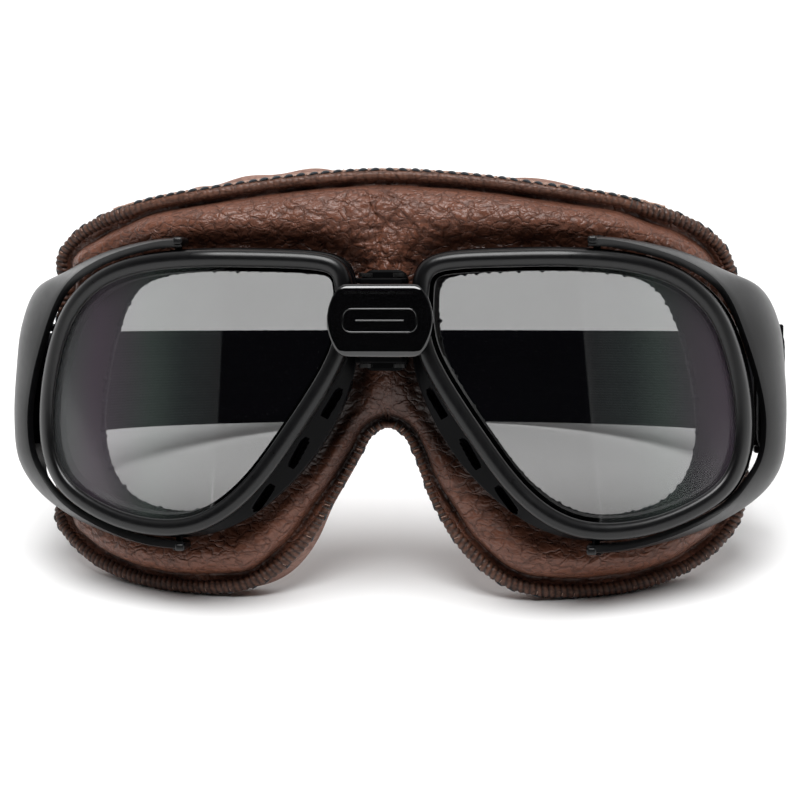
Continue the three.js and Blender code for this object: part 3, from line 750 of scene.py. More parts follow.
def add_lens(side, name):
    """A sheet with a narrow bend and a crease, cut to the outline that its rim holds."""
    edge = lens_edge + away * LENS_LAP
    columns = np.concatenate((
        np.arange(6, 30, 1.4), np.arange(30.4, 56, 0.3), np.arange(56.6, 90, 1.0),
    ))
    rows = np.arange(-52, 17, 1.0)
    x, z = np.meshgrid(columns, rows)
    x, z = (x + CREASE_SLOPE[side] * (z - MID_Z)).ravel(), z.ravel()
    flat = np.column_stack((x, z))
    number = distance_to(edge, flat)[1]
    normal = away[number]
    outside = ((flat - edge[number]) * normal).sum(axis=1) > 0
    faces = grid_faces(len(rows), len(columns))
    faces = faces[~outside[faces].all(axis=1)]
    used = np.zeros(len(flat), bool)
    used[faces.ravel()] = True
    snap = outside & used
    flat[snap] = edge[number[snap]]
    renumber = np.cumsum(used) - 1
    flat, faces = flat[used], renumber[faces]
    y = crest_y(flat[:, 0], flat[:, 1], LENS_BEND_RADIUS) + LENS_FRONT
    past = flat[:, 0] - CREASE_SLOPE[side] * (flat[:, 1] - MID_Z) - CREASE_MIDDLE[side]
    y -= 0.45 * np.exp(-((past / 0.75) ** 2))
    points = upright(flat, y)
    count = len(points)
    behind = points + (0, LENS_THICK, 0)
    edges = {}  # a dictionary, because it keeps their order
    for face in faces:
        for a, b in zip(face, np.roll(face, -1)):
            if a != b:
                edges[(a, b)] = True
    rim = [(a, b) for a, b in edges if (b, a) not in edges]
    walls = [(b, a, a + count, b + count) for a, b in rim]
    every = np.vstack((faces, faces[:, ::-1] + count, np.array(walls)))
    return add_piece(name, np.vstack((points, behind)), every, smoke, side, 30)


def add_lug(side, name):
    """The barrel on the hinge pin and the web that joins it to the base frame."""
    end, body = LUG_HALF, np.linspace(0.4 - LUG_HALF, LUG_HALF - 0.4, 8)
    z = np.concatenate(([-end, -end], body, [end, end]))
    radius = np.concatenate(([LUG_BORE, 1.9], np.full(8, LUG_RADIUS), [1.9, LUG_BORE]))
    # A hair of spread, so that no two rings share a height.
    z += np.linspace(-1e-3, 1e-3, len(z))
    barrel = turned(PIN_X, PIN_Y, z, radius, 28, True)
    back = FRONT_Y + 7.8
    tall = (0.1 - LUG_HALF, LUG_HALF - 0.1)
    web = rounded_box((PIN_X - 1.5, PIN_X + 1.8), (PIN_Y + 1.4, back), tall, 0.35)
    arm = rounded_box((PIN_X - 1.5, 9.6), (FRONT_Y + 5.5, back), tall, 0.35)
    return add_piece(name, *merge((barrel, web, arm)), matt, side)


# ---- Side wings ----
def wing_line(rows, steps):
    x, z, extra = catmull(rows, steps, False).T
    return np.column_stack((x, crest_y(x, z) + WING_FRONT_DEPTH + extra, z))


def add_wing(side, name):
    """A bent sheet with rounded edges and a slot for the strap."""
    front, crown, rear = (wing_line(rows, 12) for rows in (WING_FRONT, WING_CROWN, WING_REAR))
    crown[:, 0] += WING_SPREAD[side] * smoothstep(70, 92, crown[:, 0])
    front[:, 0] -= WING_TURN_IN[side] * smoothstep(78, 90, front[:, 0])
    control = 2 * crown - 0.5 * front - 0.5 * rear
    widths = np.linspace(0, 1, 17)[:, None, None]
    grid = (front * (1 - widths) ** 2 + 2 * control * widths * (1 - widths) + rear * widths**2)
    wide, long = grid.shape[:2]
    along = np.gradient(grid, axis=1)
    across = np.gradient(grid, axis=0)
    normal = unit(np.cross(across, along))
    outward = np.sign(normal[:, long // 2, 0].mean())
    inner = grid - normal * outward * WING_THICK
    count = wide * long
    faces = grid_faces(wide, long)
    border = [(0, c) for c in range(long)] + [(r, long - 1) for r in range(1, wide)]
    border += [(wide - 1, c) for c in range(long - 2, -1, -1)] + [(r, 0) for r in range(wide - 2, 0, -1)]
    loop = [r * long + c for r, c in border]
    walls = [(a, b, b + count, a + count) for a, b in zip(loop, loop[1:] + loop[:1])]
    every = np.vstack((faces, faces[:, ::-1] + count, np.array(walls)))
    points = np.vstack((grid.reshape(-1, 3), inner.reshape(-1, 3)))
    wing = add_piece(name, points, every, wing_satin, side, 50)
    cutter_box = rounded_box(
        (80, 100), STRAP_SLOT_Y, (STRAP_Z - STRAP_SLOT_HALF, STRAP_Z + STRAP_SLOT_HALF), 0.8, 2,
    )
    cutter = add_piece("cutter", *cutter_box, wing_satin, side)
    cut = wing.modifiers.new("slot", "BOOLEAN")
    cut.object = cutter
    cut.solver = "EXACT"
    apply_modifiers(wing)
    bevel = wing.modifiers.new("edges", "BEVEL")
    bevel.width = 0.5 * MM
    bevel.segments = 3
    bevel.limit_method = "ANGLE"
    bevel.angle_limit = math.radians(55)
    apply_modifiers(wing)
    bpy.data.objects.remove(cutter)
    wing.data.materials.clear()
    wing.data.materials.append(wing_satin)
    mark_sharp(wing.data, 50)
    return wing


def add_wing_caps(side, name):
    """The thicker end of each of the wing's two arms."""
    parts = []
    for k in (0, -1):
        x, z, _ = WING_CROWN[k]
        y = float(crest_y(x, z)) + WING_FRONT_DEPTH
        low, high = sorted((z + math.copysign(0.04, z), z - math.copysign(WING_THICK + 0.04, z)))
        parts.append(rounded_box((x - 0.4, x + 1.9), (y - 0.05, y + 9.1), (low, high), 0.6, 4))
    return add_piece(name, *merge(parts), wing_satin, side)


def add_wing_pins(side, name):
    """Turned pins with domed heads, one through each arm of the wing."""
    x = WING_PIN_X
    y = float(crest_y(x, 15)) + WING_PIVOT_DEPTH
    parts = []
    for low, high, head in ((14.6, 19.4, 20), (-49.6, -54.9, -55.5)):
        z = np.concatenate((np.linspace(low, high, 6), [high, high, (high + head) / 2, head, head]))
        radius = np.array([0.2, 0.9, 0.9, 0.9, 0.9, 0.9, 1.2, 1.7, 1.7, 1.1, 0.05])
        parts.append(turned(x, y, z, radius, 20))
    return add_piece(name, *merge(parts), matt, side)


# ---- Bridge ----
def rounded_outline(half_width, half_height, radius):
    """(x, z) points round a rectangle with rounded corners."""
    outline = []
    for quarter, (sx, sz) in enumerate(((1, 1), (-1, 1), (-1, -1), (1, -1))):
        for angle in np.linspace(0, math.pi / 2, 10) + quarter * math.pi / 2:
            outline.append((sx * (half_width - radius) + radius * math.cos(angle),
                            sz * (half_height - radius) + radius * math.sin(angle)))
    return np.array(outline)


def add_cover():
    """A stamped plate: round ends, straight top and bottom edges bent back."""
    lift = math.asin(COVER_HALF_HEIGHT / COVER_RADIUS)
    corner_x = COVER_RADIUS * math.cos(lift)
    right = [(COVER_RADIUS * math.cos(a), COVER_RADIUS * math.sin(a))
             for a in np.linspace(-lift, lift, 41)]
    top = [(x, COVER_HALF_HEIGHT) for x in np.linspace(corner_x, -corner_x, 30)[1:-1]]
    outline = np.array(right + top)
    outline = np.vstack((outline, -outline))
    outline = smooth_closed(outline, 1.6)
    bevel = np.interp(np.abs(outline[:, 1]), (COVER_HALF_HEIGHT - 1.2, COVER_HALF_HEIGHT - 0.3),
                      (0.7, 1.5))
    inward = -unit(outline)
    flat_side = np.abs(outline[:, 1]) > COVER_HALF_HEIGHT - 0.3
    inward[flat_side] = np.column_stack((np.zeros(flat_side.sum()), -np.sign(outline[flat_side, 1])))
    inward = smooth_closed(inward, 2)
    rows = []
    for angle in np.linspace(0, math.pi / 2, 9):
        inset = bevel * (1 - math.cos(angle))
        depth = bevel * (1 - math.sin(angle)) * 0.9
        rows.append(upright(outline + inward * inset[:, None], depth))
    rim = outline + inward * bevel[:, None]
    for share in np.linspace(0.97, 0.0, 14):
        rows.append(upright(rim * share, 0.12 * (1 - smoothstep(0.86, 0.97, share))))
    edge_back = np.where(flat_side, 3.2, COVER_THICK)
    edge_back = smooth_closed(edge_back, 1.5)
    inner = outline + inward * 0.9
    rows = [upright(inner * 0, 1.5), upright(inner, 1.5), upright(inner, edge_back),
            upright(outline, edge_back), *rows]
    plate = (np.vstack(rows), grid_faces(len(rows), len(outline), False, True))
    ring = upright(rounded_outline(8.6, 2.7, 1.9), 0.1)
    bar = np.column_stack((np.linspace(-5.6, 5.6, 9), np.full(9, 0.1), np.zeros(9)))
    relief = (tube(ring, 0.2, 8, True), tube(bar, 0.2, 8))
    return add_piece("bridge_cover_plate", *merge((plate, *relief)), gloss, 1, 60)


def add_bracket():
    """Spine, two flanges and the rear plate with rounded corners."""
    parts = [rounded_box((-5, 5), (3.4, 4.3), (-9.8, 9.8), 0.3)]
    for sign in (1, -1):
        span = sorted((sign * 8.7, sign * 9.9))
        parts.append(rounded_box((-6, 6), (3.5, 9.5), span, 0.25))
        parts.append(rounded_box((-3, 3), (9, 13.6), span, 0.25))
    outline = rounded_outline(5.4, 12, 2.6)
    rows = []
    for inset, y in ((0, PLATE_Y[1]), (0, PLATE_Y[0] + 0.35), (0.12, PLATE_Y[0] + 0.1),
                     (0.35, PLATE_Y[0]), (5, PLATE_Y[0])):
        scale = 1 - inset / 5
        flat = outline * (1 - inset / 5.4) if inset < 1 else outline * 0 + outline.mean(0) * scale
        rows.append(upright(flat, y))
    rows.insert(0, upright(outline * 0, PLATE_Y[1]))
    parts.append((np.vstack(rows), grid_faces(len(rows), len(outline), False, True)))
    return add_piece("bridge_bracket", *merge(parts), tab_black, 1, 40)


# ---- Face cushion ----
seam_length = lengths_along(whole_seam)


def crown(distance, reach, power=2.0):
    """0 at the seam, rising to 1 like the side of a cushion."""
    share = 1 - np.clip(distance / reach, 0, 1)
    return (1 - share**power) ** (1 / power)


def noise_field(points, scale, seed):
    return np.array([noise.noise(Vector(p) * scale + Vector((seed, 2 * seed, 3 * seed)))
                     for p in points])


def crease_field(points, scale, seed):
    """0 on the lines between irregular cells, rising into each cell."""
    out = []
    for p in points:
        at = Vector(p) * scale + Vector((seed, seed, seed))
        at += noise.noise_vector(at * 0.6) * 0.55
        distances = noise.voronoi(at)[0]
        out.append(distances[1] - distances[0])
    return np.array(out)


def flat_points(flat, side, third=0.0):
    """(x, z) points of the right half as 3-D points on their own side."""
    return np.column_stack((flat[:, 0] * side, flat[:, 1], np.broadcast_to(third, len(flat))))


def whip_share(length):
    """0 where the edge is bound smoothly, 1 where whip stitches pull it into ridges."""
    nearest = np.minimum(length, seam_length[-1] - length)
    start = smoothstep(BOUND_LENGTH - 8, BOUND_LENGTH + 2, nearest)
    return start * (1 - 0.7 * arch_share(length))


def arch_share(length):
    """1 at the nose arch, where the roll is narrow, and 0 away from it."""
    middle = seam_length[-1] / 2
    return smoothstep(middle - 34, middle - 14, np.minimum(length, seam_length[-1] - length))


def front_depth(flat, side):
    """Depth of the front leather behind the crest of the rims at (x, z) points."""
    distance, number = distance_to(whole_seam, flat)
    frame_gap = distance_to(base_edge, flat)[0]
    whip = whip_share(seam_length[number])
    seam_place = flat_points(whole_seam[number], side)
    arch = arch_share(seam_length[number])
    valley = 2.0 + 1.1 * whip + 0.5 * noise_field(seam_place, 0.1, 71.0) * whip - 1.0 * arch
    seam_place[:, 2] = distance * 0.25
    rise = crown(np.maximum(distance - valley - 0.5, 0), 9.5, 2.1)
    depth = SEAM_DEPTH - 0.4 - (SEAM_DEPTH - 0.4 - FRONT_DEPTH) * rise
    # Held back along the frame, so that it stands proud in between.
    depth += 4.2 * np.exp(-((frame_gap / 4.6) ** 2)) * smoothstep(2, 7, distance)
    # A valley just inside the seam roll, and puckers that run away from the stitches.
    in_valley = np.exp(-(((distance - valley) / 0.95) ** 2))
    in_valley *= np.clip(0.8 + 0.6 * noise_field(seam_place, 0.12, 17.0), 0.5, 1)
    depth += 1.25 * in_valley
    pucker = noise_field(seam_place, 0.22, 4.0) * np.exp(-distance / 6)
    pucker *= smoothstep(valley, valley + 2, distance)
    spots = flat_points(flat, side)
    lumps = noise_field(spots, 0.07, 9.0)
    inside = smoothstep(valley + 0.3, valley + 4, distance)
    near_middle = np.exp(-((flat[:, 0] / 26) ** 2)) * smoothstep(0, 12, flat[:, 1])
    stretched = spots * (0.85, 1.2, 1)
    coarse = np.exp(-crease_field(stretched, 0.17, 3.0) * 9)
    small = np.exp(-crease_field(stretched, 0.36, 7.0) * 7)
    depth += 1.6 * pucker + 1.0 * lumps * inside
    depth += inside * (0.3 + 0.45 * near_middle) * coarse
    depth += inside * (0.18 + 0.24 * near_middle) * small
    # Painted shade: darker in the valley inside the seam roll, along the frame's edge, and over the nose
    # under the bridge.
    painted_darkness = 0.85 * in_valley + 0.75 * np.exp(-((frame_gap / 3.4) ** 2))
    over_nose = np.exp(-((flat[:, 0] / 20) ** 2)) * smoothstep(0, -14, flat[:, 1])
    painted_darkness += over_nose * (0.62 + 0.3 * noise_field(spots, 0.15, 91.0)) * smoothstep(60, 26, -flat[:, 1])
    return depth, distance, np.clip(painted_darkness, 0, 1)


def rear_depth(flat, side):
    distance = distance_to(whole_seam, flat)[0]
    depth = SEAM_DEPTH + 1 + (REAR_DEPTH - SEAM_DEPTH - 1) * crown(distance, 7, 2.4)
    hole_gap = np.minimum(distance_to(hole_edge, flat)[0],
                          distance_to(hole_edge * (-1, 1), flat)[0])
    depth -= 2.4 * (1 - crown(hole_gap, 4, 2))
    lumps = noise_field(flat_points(flat, side), 0.07, 21.0)
    return depth + 0.8 * lumps * smoothstep(1, 5, distance)


def half_sheet(inner, shares):
    """(x, z) rows from an inner outline to the cushion's edge, which the last row is exactly."""
    rows = [inner + (cushion_edge - inner) * share for share in shares[:-1]]
    return np.array([*rows, cushion_edge])


def add_front_leather(side, name):
    shares = np.concatenate((np.linspace(0, 0.76, 28), np.linspace(0.78, 1, 22)))
    rows = half_sheet(lens_edge + away * 0.6, shares)
    flat = rows.reshape(-1, 2)
    depth, distance, painted_darkness = front_depth(flat, side)
    points = behind_crest(flat, depth)
    tucked = points[:AROUND].copy()
    tucked[:, 1] += 2
    points = np.vstack((tucked, points))
    shift = SEAM_SHIFT * smoothstep(12, 3, distance)
    shift = np.concatenate((shift[:AROUND], shift))
    painted_darkness = np.concatenate((painted_darkness[:AROUND], painted_darkness))
    return add_piece(name, points, grid_faces(len(shares) + 1, AROUND, False, True),
                     front_leather, side, 80, shift=shift, painted_shade=painted_darkness)


def lining_bulge(side):
    """How far the back leather stands out past the seam, more in some places than in others."""
    x, z = cushion_edge.T
    at = x * side
    soft = noise_field(flat_points(cushion_edge, side), 0.05, 31.0)
    top = smoothstep(20, 28, z) * smoothstep(0, 6, x)
    swells = np.exp(-(((at + 19) / 8) ** 2)) + 0.9 * np.exp(-(((at - 38) / 13) ** 2))
    swells += 0.95 * np.exp(-(((at + 35) / 8) ** 2)) + 0.5 * np.exp(-(((at + 47) / 4) ** 2))
    inner_left = np.exp(-(((at + 22) / 9) ** 2)) * smoothstep(-40, -52, z)
    return 1.5 + 0.9 * soft + top * swells * 2.9 + 2.2 * inner_left


def add_lining(side, name):
    """The back leather, from the seam roll over the rear to the edge of the eye opening."""
    shares = np.concatenate((np.linspace(0, 0.68, 18), np.linspace(0.7, 1, 19)))
    rows = half_sheet(hole_edge, shares)
    flat = rows.reshape(-1, 2)
    points = behind_crest(flat, rear_depth(flat, side)).reshape(len(shares), AROUND, 3)
    outward = cushion_edge - hole_edge
    width = np.linalg.norm(outward, axis=1)[:, None]
    outward /= width
    outward[cushion_edge[:, 0] < 0.5] *= (0, 1)
    bulge = lining_bulge(side)[:, None]
    for row, share in enumerate(shares):
        # Past its last third the sheet swells out and turns back in to the seam.
        past = max((share - 0.7) / 0.3, 0)
        reach = 0.3 * width * (1 - past - (1 - past) ** 2) if past > 0 else 0
        swell = bulge * max(math.sin(math.pi * past), 0) ** 0.7
        points[row][:, [0, 2]] += outward * (reach + swell)
    last = points[-1]
    last[:, 1] = crest_y(cushion_edge[:, 0], cushion_edge[:, 1]) + SEAM_DEPTH + 0.6
    shift = np.repeat(SEAM_SHIFT * smoothstep(0.3, 0.9, shares), AROUND)
    return add_piece(name, points.reshape(-1, 3), grid_faces(len(shares), AROUND, False, True),
                     back_leather, side, 80, shift=shift)


def add_inner_wall(side, name):
    """The lined side of the eye opening, from behind the lens to the rear edge."""
    rows = []
    front = lens_edge + away * 0.8
    for share in np.linspace(0, 1, 14):
        flat = front + (hole_edge - front) * share ** 1.15
        sag = 0.9 * math.sin(math.pi * share)
        flat = flat + away * sag * 0.6
        rows.append(behind_crest(flat, WALL_FRONT + (WALL_REAR - WALL_FRONT) * share))
    points = np.vstack(rows)
    points[:, 1] += noise_field(points * (side, 1, 1), 0.09, 41.0) * 0.8
    return add_piece(name, points, grid_faces(len(rows), AROUND, False, True), inner_wall, side, 80)


def resample(line, pitch, closed):
    """Points of a line at an even pitch."""
    length = lengths_along(line, closed)
    ring = np.vstack((line, line[:1])) if closed else line
    count = max(int(round(length[-1] / pitch)), 2)
    at = np.linspace(0, length[-1], count + (0 if closed else 1), endpoint=not closed)
    return np.column_stack([np.interp(at, length, ring[:, k]) for k in range(ring.shape[1])])


def seam_frame(pitch):
    """The middle of the roll at an even pitch, with unit vectors along it, outward and back."""
    path = resample(behind_crest(half_seam, SEAM_DEPTH), pitch, False)
    along = np.gradient(path, axis=0)
    along[0, 2] = along[-1, 2] = 0
    along = unit(along)
    outward = unit(np.cross(along, BACKWARDS))
    third = len(path) // 3
    if (outward[third] * (path[third] - (44, 0, -16))).sum() < 0:
        outward = -outward
    back = np.cross(outward, along)
    return path, along, outward, back * np.sign(back[:, 1:2])


def add_seam_roll(side, name):
    """The rolled edge, corrugated where the whip stitches pull it in."""
    path, _, outward, back = seam_frame(SEAM_STEP)
    sides = 18
    angle = np.arange(sides) / sides * 2 * math.pi
    step = np.arange(len(path))[:, None] * SEAM_STEP
    slant = angle[None] / (2 * math.pi) * RIDGE_PITCH * side
    ridge = np.abs(np.sin(math.pi * (step + slant) / RIDGE_PITCH)) ** 0.7
    wobble = noise_field(path * (side * 0.3, 0.3, 0.3), 1, 51)[:, None]
    depth_of_ridge = 0.12 + 0.24 * whip_share(step)
    swell = 0.45 * whip_share(step) - 0.5 * arch_share(step)
    radius = SEAM_RADIUS * (0.9 + 0.1 * wobble) + swell - depth_of_ridge * (1 - ridge)
    points = rings(path - outward * swell, radius, outward, back, sides)
    points[:sides, 0] = points[-sides:, 0] = 0
    # Painted shade in the grooves between the ridges, stronger where the whip stitches pull them in;
    # where whip-stitched, the roll is also a little darker all over.
    painted_darkness = np.clip((1 - ridge) * (0.3 + 0.7 * whip_share(step)) + 0.2 * whip_share(step), 0, 1)
    return add_piece(name, points, grid_faces(len(path), sides, False, True),
                     roll_leather, side, 80, shift=SEAM_SHIFT, painted_shade=painted_darkness.ravel())


def raw_edge(side, first, last):
    """The cut edge of the leather that shows between the dark threads."""
    pitch = 0.3
    path, _, outward, back = seam_frame(pitch)
    ragged = noise_field(path * (side, 1, 1), 0.8, 83.0)[:, None]
    line = path + outward * (SEAM_RADIUS - 0.05 + 0.18 * ragged) + back * 0.35
    return tube(line[int(first / pitch):int(last / pitch)], 0.36, 8)


def stitches(pitch, first, last, turn, run, lift, width, side, seed, share_kept=1.0):
    """Short threads on the seam roll between two lengths along it.

    turn is the angles round the roll from a thread's start to its end, from outward towards
    the back; run is how far it goes along the roll, as a share of the pitch.
    """
    path, along, outward, back = seam_frame(SEAM_STEP)
    last = min(last, (len(path) - 1) * SEAM_STEP - 0.5)
    parts = []
    for number in range(int((last - first) / pitch)):
        wander = noise.noise(Vector((number * 0.73 + seed, seed * side, 0)))
        if (number * 0.618 + seed) % 1 > share_kept:
            continue
        centre = first + (number + 0.5 + 0.15 * wander) * pitch
        arc = []
        for share in np.linspace(0, 1, 7):
            angle = turn[0] + (turn[1] - turn[0]) * share + 0.15 * wander
            place = centre + run * (share - 0.5) * pitch
            index = min(max(int(place / SEAM_STEP), 0), len(path) - 1)
            reach = SEAM_RADIUS + lift * (0.4 + 0.6 * math.sin(math.pi * share))
            arc.append(path[index] + along[index] * (place - index * SEAM_STEP)
                       + reach * (math.cos(angle) * outward[index] + math.sin(angle) * back[index]))
        radius = width * (1 + 0.15 * wander) * np.array((0.35, 0.8, 1, 1.05, 1, 0.8, 0.35))
        parts.append(tube(arc, radius, 7))
    return merge(parts)


def add_stitches(side, word):
    """Dark threads laid along the edge, tan loops between them, and dark whip stitches."""
    bound, whole = BOUND_LENGTH, seam_length[-1]
    dark = merge((
        stitches(STITCH_PITCH, 0.3, bound, (0.0, -0.55), 0.66, 0.12, 0.36, side, 3.0),
        stitches(STITCH_PITCH, bound, whole, (0.0, -0.7), 0.55, -0.2, 0.24, side, 5.0, 0.6),
    ))
    tan = merge((
        raw_edge(side, 0.0, bound + 4),
        stitches(STITCH_PITCH, 1.9, bound, (-0.7, 0.9), 0.1, 0.05, 0.36, side, 8.0),
        stitches(STITCH_PITCH, bound, whole, (-2.0, -1.0), 0.1, 0.0, 0.1, side, 9.0, 0.5),
    ))
    whip = stitches(RIDGE_PITCH, bound - 6, whole, (-2.4, 1.2), 0.3, -0.25, 0.17, side, 13.0)
    threads = (("dark", dark, dark_thread), ("tan", tan, tan_thread), ("whip", whip, brown_thread))
    return [add_piece(f"{word}_{kind}_stitches", *shape, material, side, 80, shift=SEAM_SHIFT)
            for kind, shape, material in threads]


def add_opening_binding(side, name):
    """The overcast rear edge of the eye opening, with ragged thread ends."""
    pitch = 0.3
    path = behind_crest(resample(hole_edge, pitch, True), WALL_REAR - 0.1)
    step = np.arange(len(path)) * pitch
    ragged = noise_field(np.column_stack((step * side, step * 0, step * 0)), 0.7, 61)
    path[:, [0, 2]] += away[np.arange(len(path)) * AROUND // len(path)] * 0.55
    radius = 0.5 + 0.15 * np.abs(np.sin(math.pi * step / 2)) + 1.0 * np.maximum(ragged, 0)
    return add_piece(name, *tube(path, radius, 10, True), dark_thread, side, 80)


# ---- Strap ----
def strap_band(line):
    """A ribbed band along (x, y) points, with rounded selvedges, and its weave map in mm."""
    line = np.asarray(line, float)
    along = unit(np.gradient(line, axis=0))
    outward = np.column_stack((along[:, 1], -along[:, 0]))
    length = lengths_along(line, False)
    across = STRAP_WIDTH / 2 * np.sin(np.linspace(-math.pi / 2, math.pi / 2, 37))
    ripple = 0.03 * np.cos(across * 2 * math.pi / RIB_PITCH)
    half = STRAP_THICK / 2 * (1 - (np.abs(across) / (STRAP_WIDTH / 2)) ** 14) + 0.02
    section = [(z, t + r) for z, t, r in zip(across, half, ripple)]
    section += [(z, -t - r) for z, t, r in zip(across[::-1], half[::-1], ripple)]
    rows, uv = [], []
    for z, offset in section:
        flat = line + outward * offset
        rows.append(np.column_stack((flat, np.full(len(flat), STRAP_Z + z))))
        uv.append(np.column_stack((length, np.full(len(flat), z))))
    points = np.array(rows)
    centre_first, centre_last = points[:, 0].mean(0), points[:, -1].mean(0)
    faces = grid_faces(len(section), len(line), True, False)
    count = points.shape[0] * points.shape[1]
    points = np.vstack((points.reshape(-1, 3), centre_first, centre_last))
    uv = np.vstack((*uv, (0, 0), (length[-1], 0)))
    caps = []
    last = len(line) - 1
    for number in range(len(section)):
        after = (number + 1) % len(section)
        caps.append((number * len(line), after * len(line), count, count))
        caps.append((after * len(line) + last, number * len(line) + last, count + 1, count + 1))
    return points, np.vstack((faces, np.array(caps))), uv


def add_strap(side, rear_name, front_name, tail_name):
    inner = STRAP_X - LAYER_STEP
    angles = np.linspace(math.pi, 2 * math.pi, 15)
    loop = [(BAR_X + LOOP_RADIUS * math.cos(a), LOOP_Y + LOOP_RADIUS * math.sin(a)) for a in angles]
    front = [(inner, CUT_Y), (BAR_X - LOOP_RADIUS + 0.2, 54), (BAR_X - LOOP_RADIUS, 50), *loop,
             (BAR_X + LOOP_RADIUS, 50), (STRAP_X + 1.4, 54), (STRAP_X, CUT_Y)]
    points, faces, uv = strap_band(resample(catmull(front, 6, False), 1.0, False))
    loop_piece = add_piece(front_name, points, faces, webbing, side, 50, uv)
    run = [(STRAP_X, CUT_Y), (STRAP_X, 70)] + list(STRAP_REAR) + [(-36, 165.5)]
    rear_line = catmull(run, 10, False)[: 10 * (len(run) - 2) + 1]
    rear_line[-1, 0] = 0
    points, faces, uv = strap_band(rear_line)
    rear_piece = add_piece(rear_name, points, faces, webbing, side, 50, uv)
    points, faces, uv = strap_band([(inner, y) for y in np.linspace(CUT_Y, TAIL_END_Y, 40)])
    tail_piece = add_piece(tail_name, points, faces, webbing, side, 50, uv)
    return rear_piece, loop_piece, tail_piece


def add_slider(side, name):
    clear = STRAP_THICK / 2 + 0.4
    outer = (STRAP_X + clear, STRAP_X + clear + 1.6)
    inner_x = STRAP_X - LAYER_STEP - clear
    inner = (inner_x - 1.6, inner_x)
    reach = STRAP_WIDTH / 2 + 2.4
    low, high = STRAP_Z - reach, STRAP_Z + reach
    y = SLIDER_Y
    parts = [
        rounded_box(outer, (y - 5, y - 3), (low, high), 0.55),
        rounded_box(outer, (y + 3, y + 5), (low, high), 0.55),
        rounded_box(inner, (y - 1.3, y + 1.3), (low, high), 0.55),
        rounded_box((inner[0], outer[1]), (y - 5, y + 5), (low, low + 2), 0.6),
        rounded_box((inner[0], outer[1]), (y - 5, y + 5), (high - 2, high), 0.6),
    ]
    return add_piece(name, *merge(parts), matt, side)


# ---- Assembly ----
ROOT = "bridge_and_cushion"


def place(piece, body, slot, *nodes):
    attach(piece, body)
    if nodes:
        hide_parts(*nodes)


def bend_with(piece, eyepiece, side, slot, *nodes):
    """A cushion piece, its place baked into its mesh, with the CAD nodes it stands for hidden."""
    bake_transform(piece)
    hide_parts(*nodes)


for side, word in ((-1, "left"), (1, "right")):
    eyepiece, wing, slider = f"{word}_eyepiece", f"{word}_wing", f"{word}_slider"
    place(add_rim(side, f"{word}_rim"), eyepiece, "rim_satin", f"{word}_lens_rim")
    place(add_base(side, f"{word}_base"), eyepiece, "frame_matt", f"{word}_base_frame")
    place(add_lug(side, f"{word}_hinge_lug"), eyepiece, "frame_matt", f"{word}_base_frame")
    place(add_lens(side, f"{word}_bent_lens"), eyepiece, "lens", f"{word}_lens")
    place(add_wing(side, f"{word}_wing_sheet"), wing, "rim_satin", f"{word}_side_wing")
    place(add_wing_caps(side, f"{word}_wing_caps"), wing, "rim_satin", f"{word}_side_wing")
    place(add_wing_pins(side, f"{word}_wing_pins"), eyepiece, "frame_matt",
          f"{word}_upper_wing_pin", f"{word}_lower_wing_pin")
    place(add_slider(side, f"{word}_slider_frame"), slider, "frame_matt", f"{word}_strap_slider")

    leather_piece = add_front_leather(side, f"{word}_cushion_leather")
    bend_with(leather_piece, eyepiece, side, "leather", "cushion_front_leather")
    lining_piece = add_lining(side, f"{word}_cushion_lining")
    bend_with(lining_piece, eyepiece, side, "lining", "cushion_back_lining")
    bend_with(add_inner_wall(side, f"{word}_cushion_inner_wall"), eyepiece, side, "foam",
              "cushion_foam_core")
    bend_with(add_seam_roll(side, f"{word}_seam_roll"), eyepiece, side, "piping",
              "cushion_seam_piping")
    for thread in add_stitches(side, word):
        bend_with(thread, eyepiece, side, "piping", "cushion_seam_piping")
    bend_with(add_opening_binding(side, f"{word}_opening_binding"), eyepiece, side, "piping",
              "cushion_back_lining")

    rear, loop, tail = add_strap(side, f"{word}_strap_rear", f"{word}_strap_loop",
                                 f"{word}_strap_tail")
    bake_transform(rear)
    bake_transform(loop)
    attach(tail, eyepiece)
    for piece in (rear, loop, tail):
        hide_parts("elastic_strap")

place(add_cover(), ROOT, "gloss", "bridge_front_cover")
place(add_bracket(), ROOT, "frame_matt", "bridge_hinge_bracket")
for node in ("left_hinge_pin", "right_hinge_pin", "cover_rivet_upper", "cover_rivet_lower"):
    frame["nodes"][node].data.materials.clear()
    frame["nodes"][node].data.materials.append(steel)


# ---- Floor, light and camera ----
def add_floor():
    """A flat pale floor that runs on far past the edge of the view."""
    profile = [-4, -1, -0.4, 0.4, 1, 4, 12]
    points = [(x, y, 0) for y in profile for x in (-8, 8)]
    mesh = bpy.data.meshes.new("floor")
    mesh.from_pydata(points, [], grid_faces(len(profile), 2).tolist())
    shader = Shader("floor_pale", roughness=0.75)
    position = shader.node("ShaderNodeTexCoord").outputs["Object"]
    paper = shader.noise(position, 40, 3)
    shader.link(shader.mix(paper, (0.9, 0.9, 0.9), (0.92, 0.92, 0.92)), "Base Color")
    mesh.materials.append(shader.material)
    floor = new_object("floor", mesh)


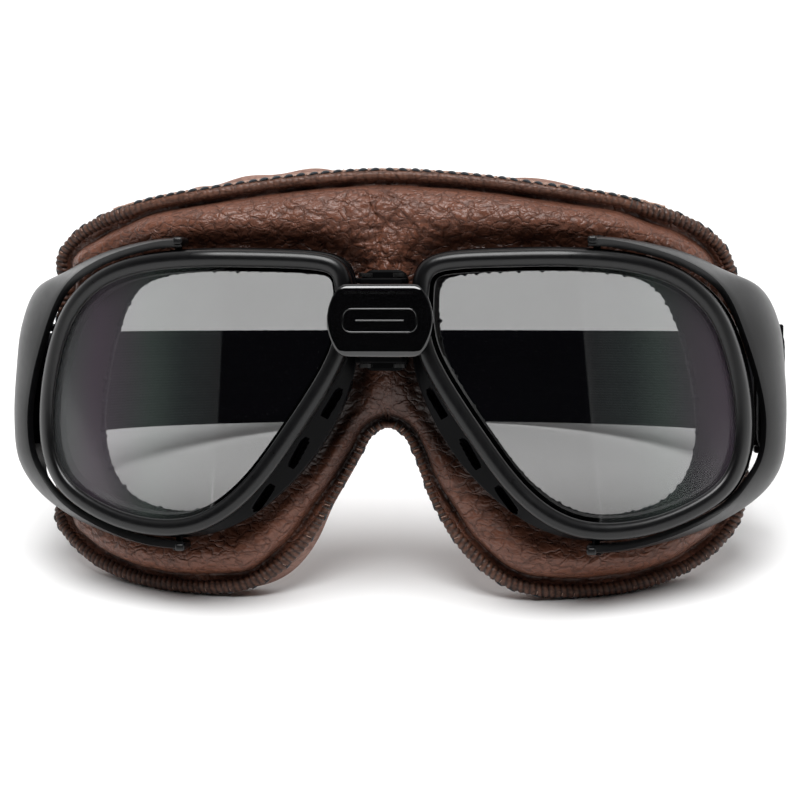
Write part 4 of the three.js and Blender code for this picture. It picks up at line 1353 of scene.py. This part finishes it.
def add_world():
    """A white studio all round, with a darker side in front of the goggles."""
    world = bpy.data.worlds.new("studio")
    studio = Nodes(world)
    direction = studio.node("ShaderNodeTexCoord").outputs["Generated"]
    facing = studio.node("ShaderNodeVectorMath", {0: direction, 1: (-0.04, -0.978, 0.205)},
                         operation="DOT_PRODUCT").outputs["Value"]
    smooth = {"interpolation_type": "SMOOTHSTEP"}
    spread = studio.map_range(facing, (-0.25, 0.75), (0.5, 0.002), **smooth)
    behind = studio.map_range(facing, (-0.05, -0.75), (0, 1.6), **smooth)
    # The far side is brightest near the horizon.
    height = studio.node("ShaderNodeSeparateXYZ", {0: direction}).outputs[2]
    low = studio.map_range(height, (0.1, 0.6), (1, 0.2))
    strength = studio.math("MULTIPLY_ADD", behind, low, spread)
    # The camera sees plain white instead.
    by_camera = studio.node("ShaderNodeLightPath").outputs["Is Camera Ray"]
    strength = studio.node("ShaderNodeMix", {0: by_camera, 2: strength, 3: 1.1}).outputs[0]
    studio.feed(studio.tree.nodes["Background"], {"Color": (1, 1, 1, 1), "Strength": strength})
    bpy.context.scene.world = world


def add_top_light():
    """A wide soft light from above, a little in front of the goggles."""
    light = bpy.data.lights.new("top_light", "SUN")
    light.angle = math.radians(40)
    light.energy = 3.8
    new_object("top_light", light).rotation_euler = (math.radians(20), 0, math.radians(4))


def add_camera():
    """A long lens a little to the right of the goggles' middle and a little above."""
    azimuth, rise, distance = math.radians(5.5), math.radians(2.2), 525
    shift_right, shift_up = 4.75, -18.4
    right = np.array((math.cos(azimuth), math.sin(azimuth), 0))
    forward = np.array((-math.sin(azimuth) * math.cos(rise), math.cos(azimuth) * math.cos(rise),
                        -math.sin(rise)))
    up = np.cross(right, forward)
    eye = -forward * distance + right * shift_right + up * shift_up
    cos, sin = math.cos(LEAN), math.sin(LEAN)
    lean = Matrix(((1, 0, 0), (0, cos, sin), (0, -sin, cos)))
    data = bpy.data.cameras.new("camera")
    data.sensor_width = 36
    data.lens = 102.06
    data.clip_start = 0.05
    camera = new_object("camera", data)
    axes = Matrix((right, up, -forward)).transposed()
    camera.matrix_world = Matrix.Translation(frame_point(*eye)) @ (lean @ axes).to_4x4()
    bpy.context.scene.camera = camera


add_floor()
add_world()
add_top_light()
bpy.context.scene.view_settings.view_transform = "Standard"
add_camera()
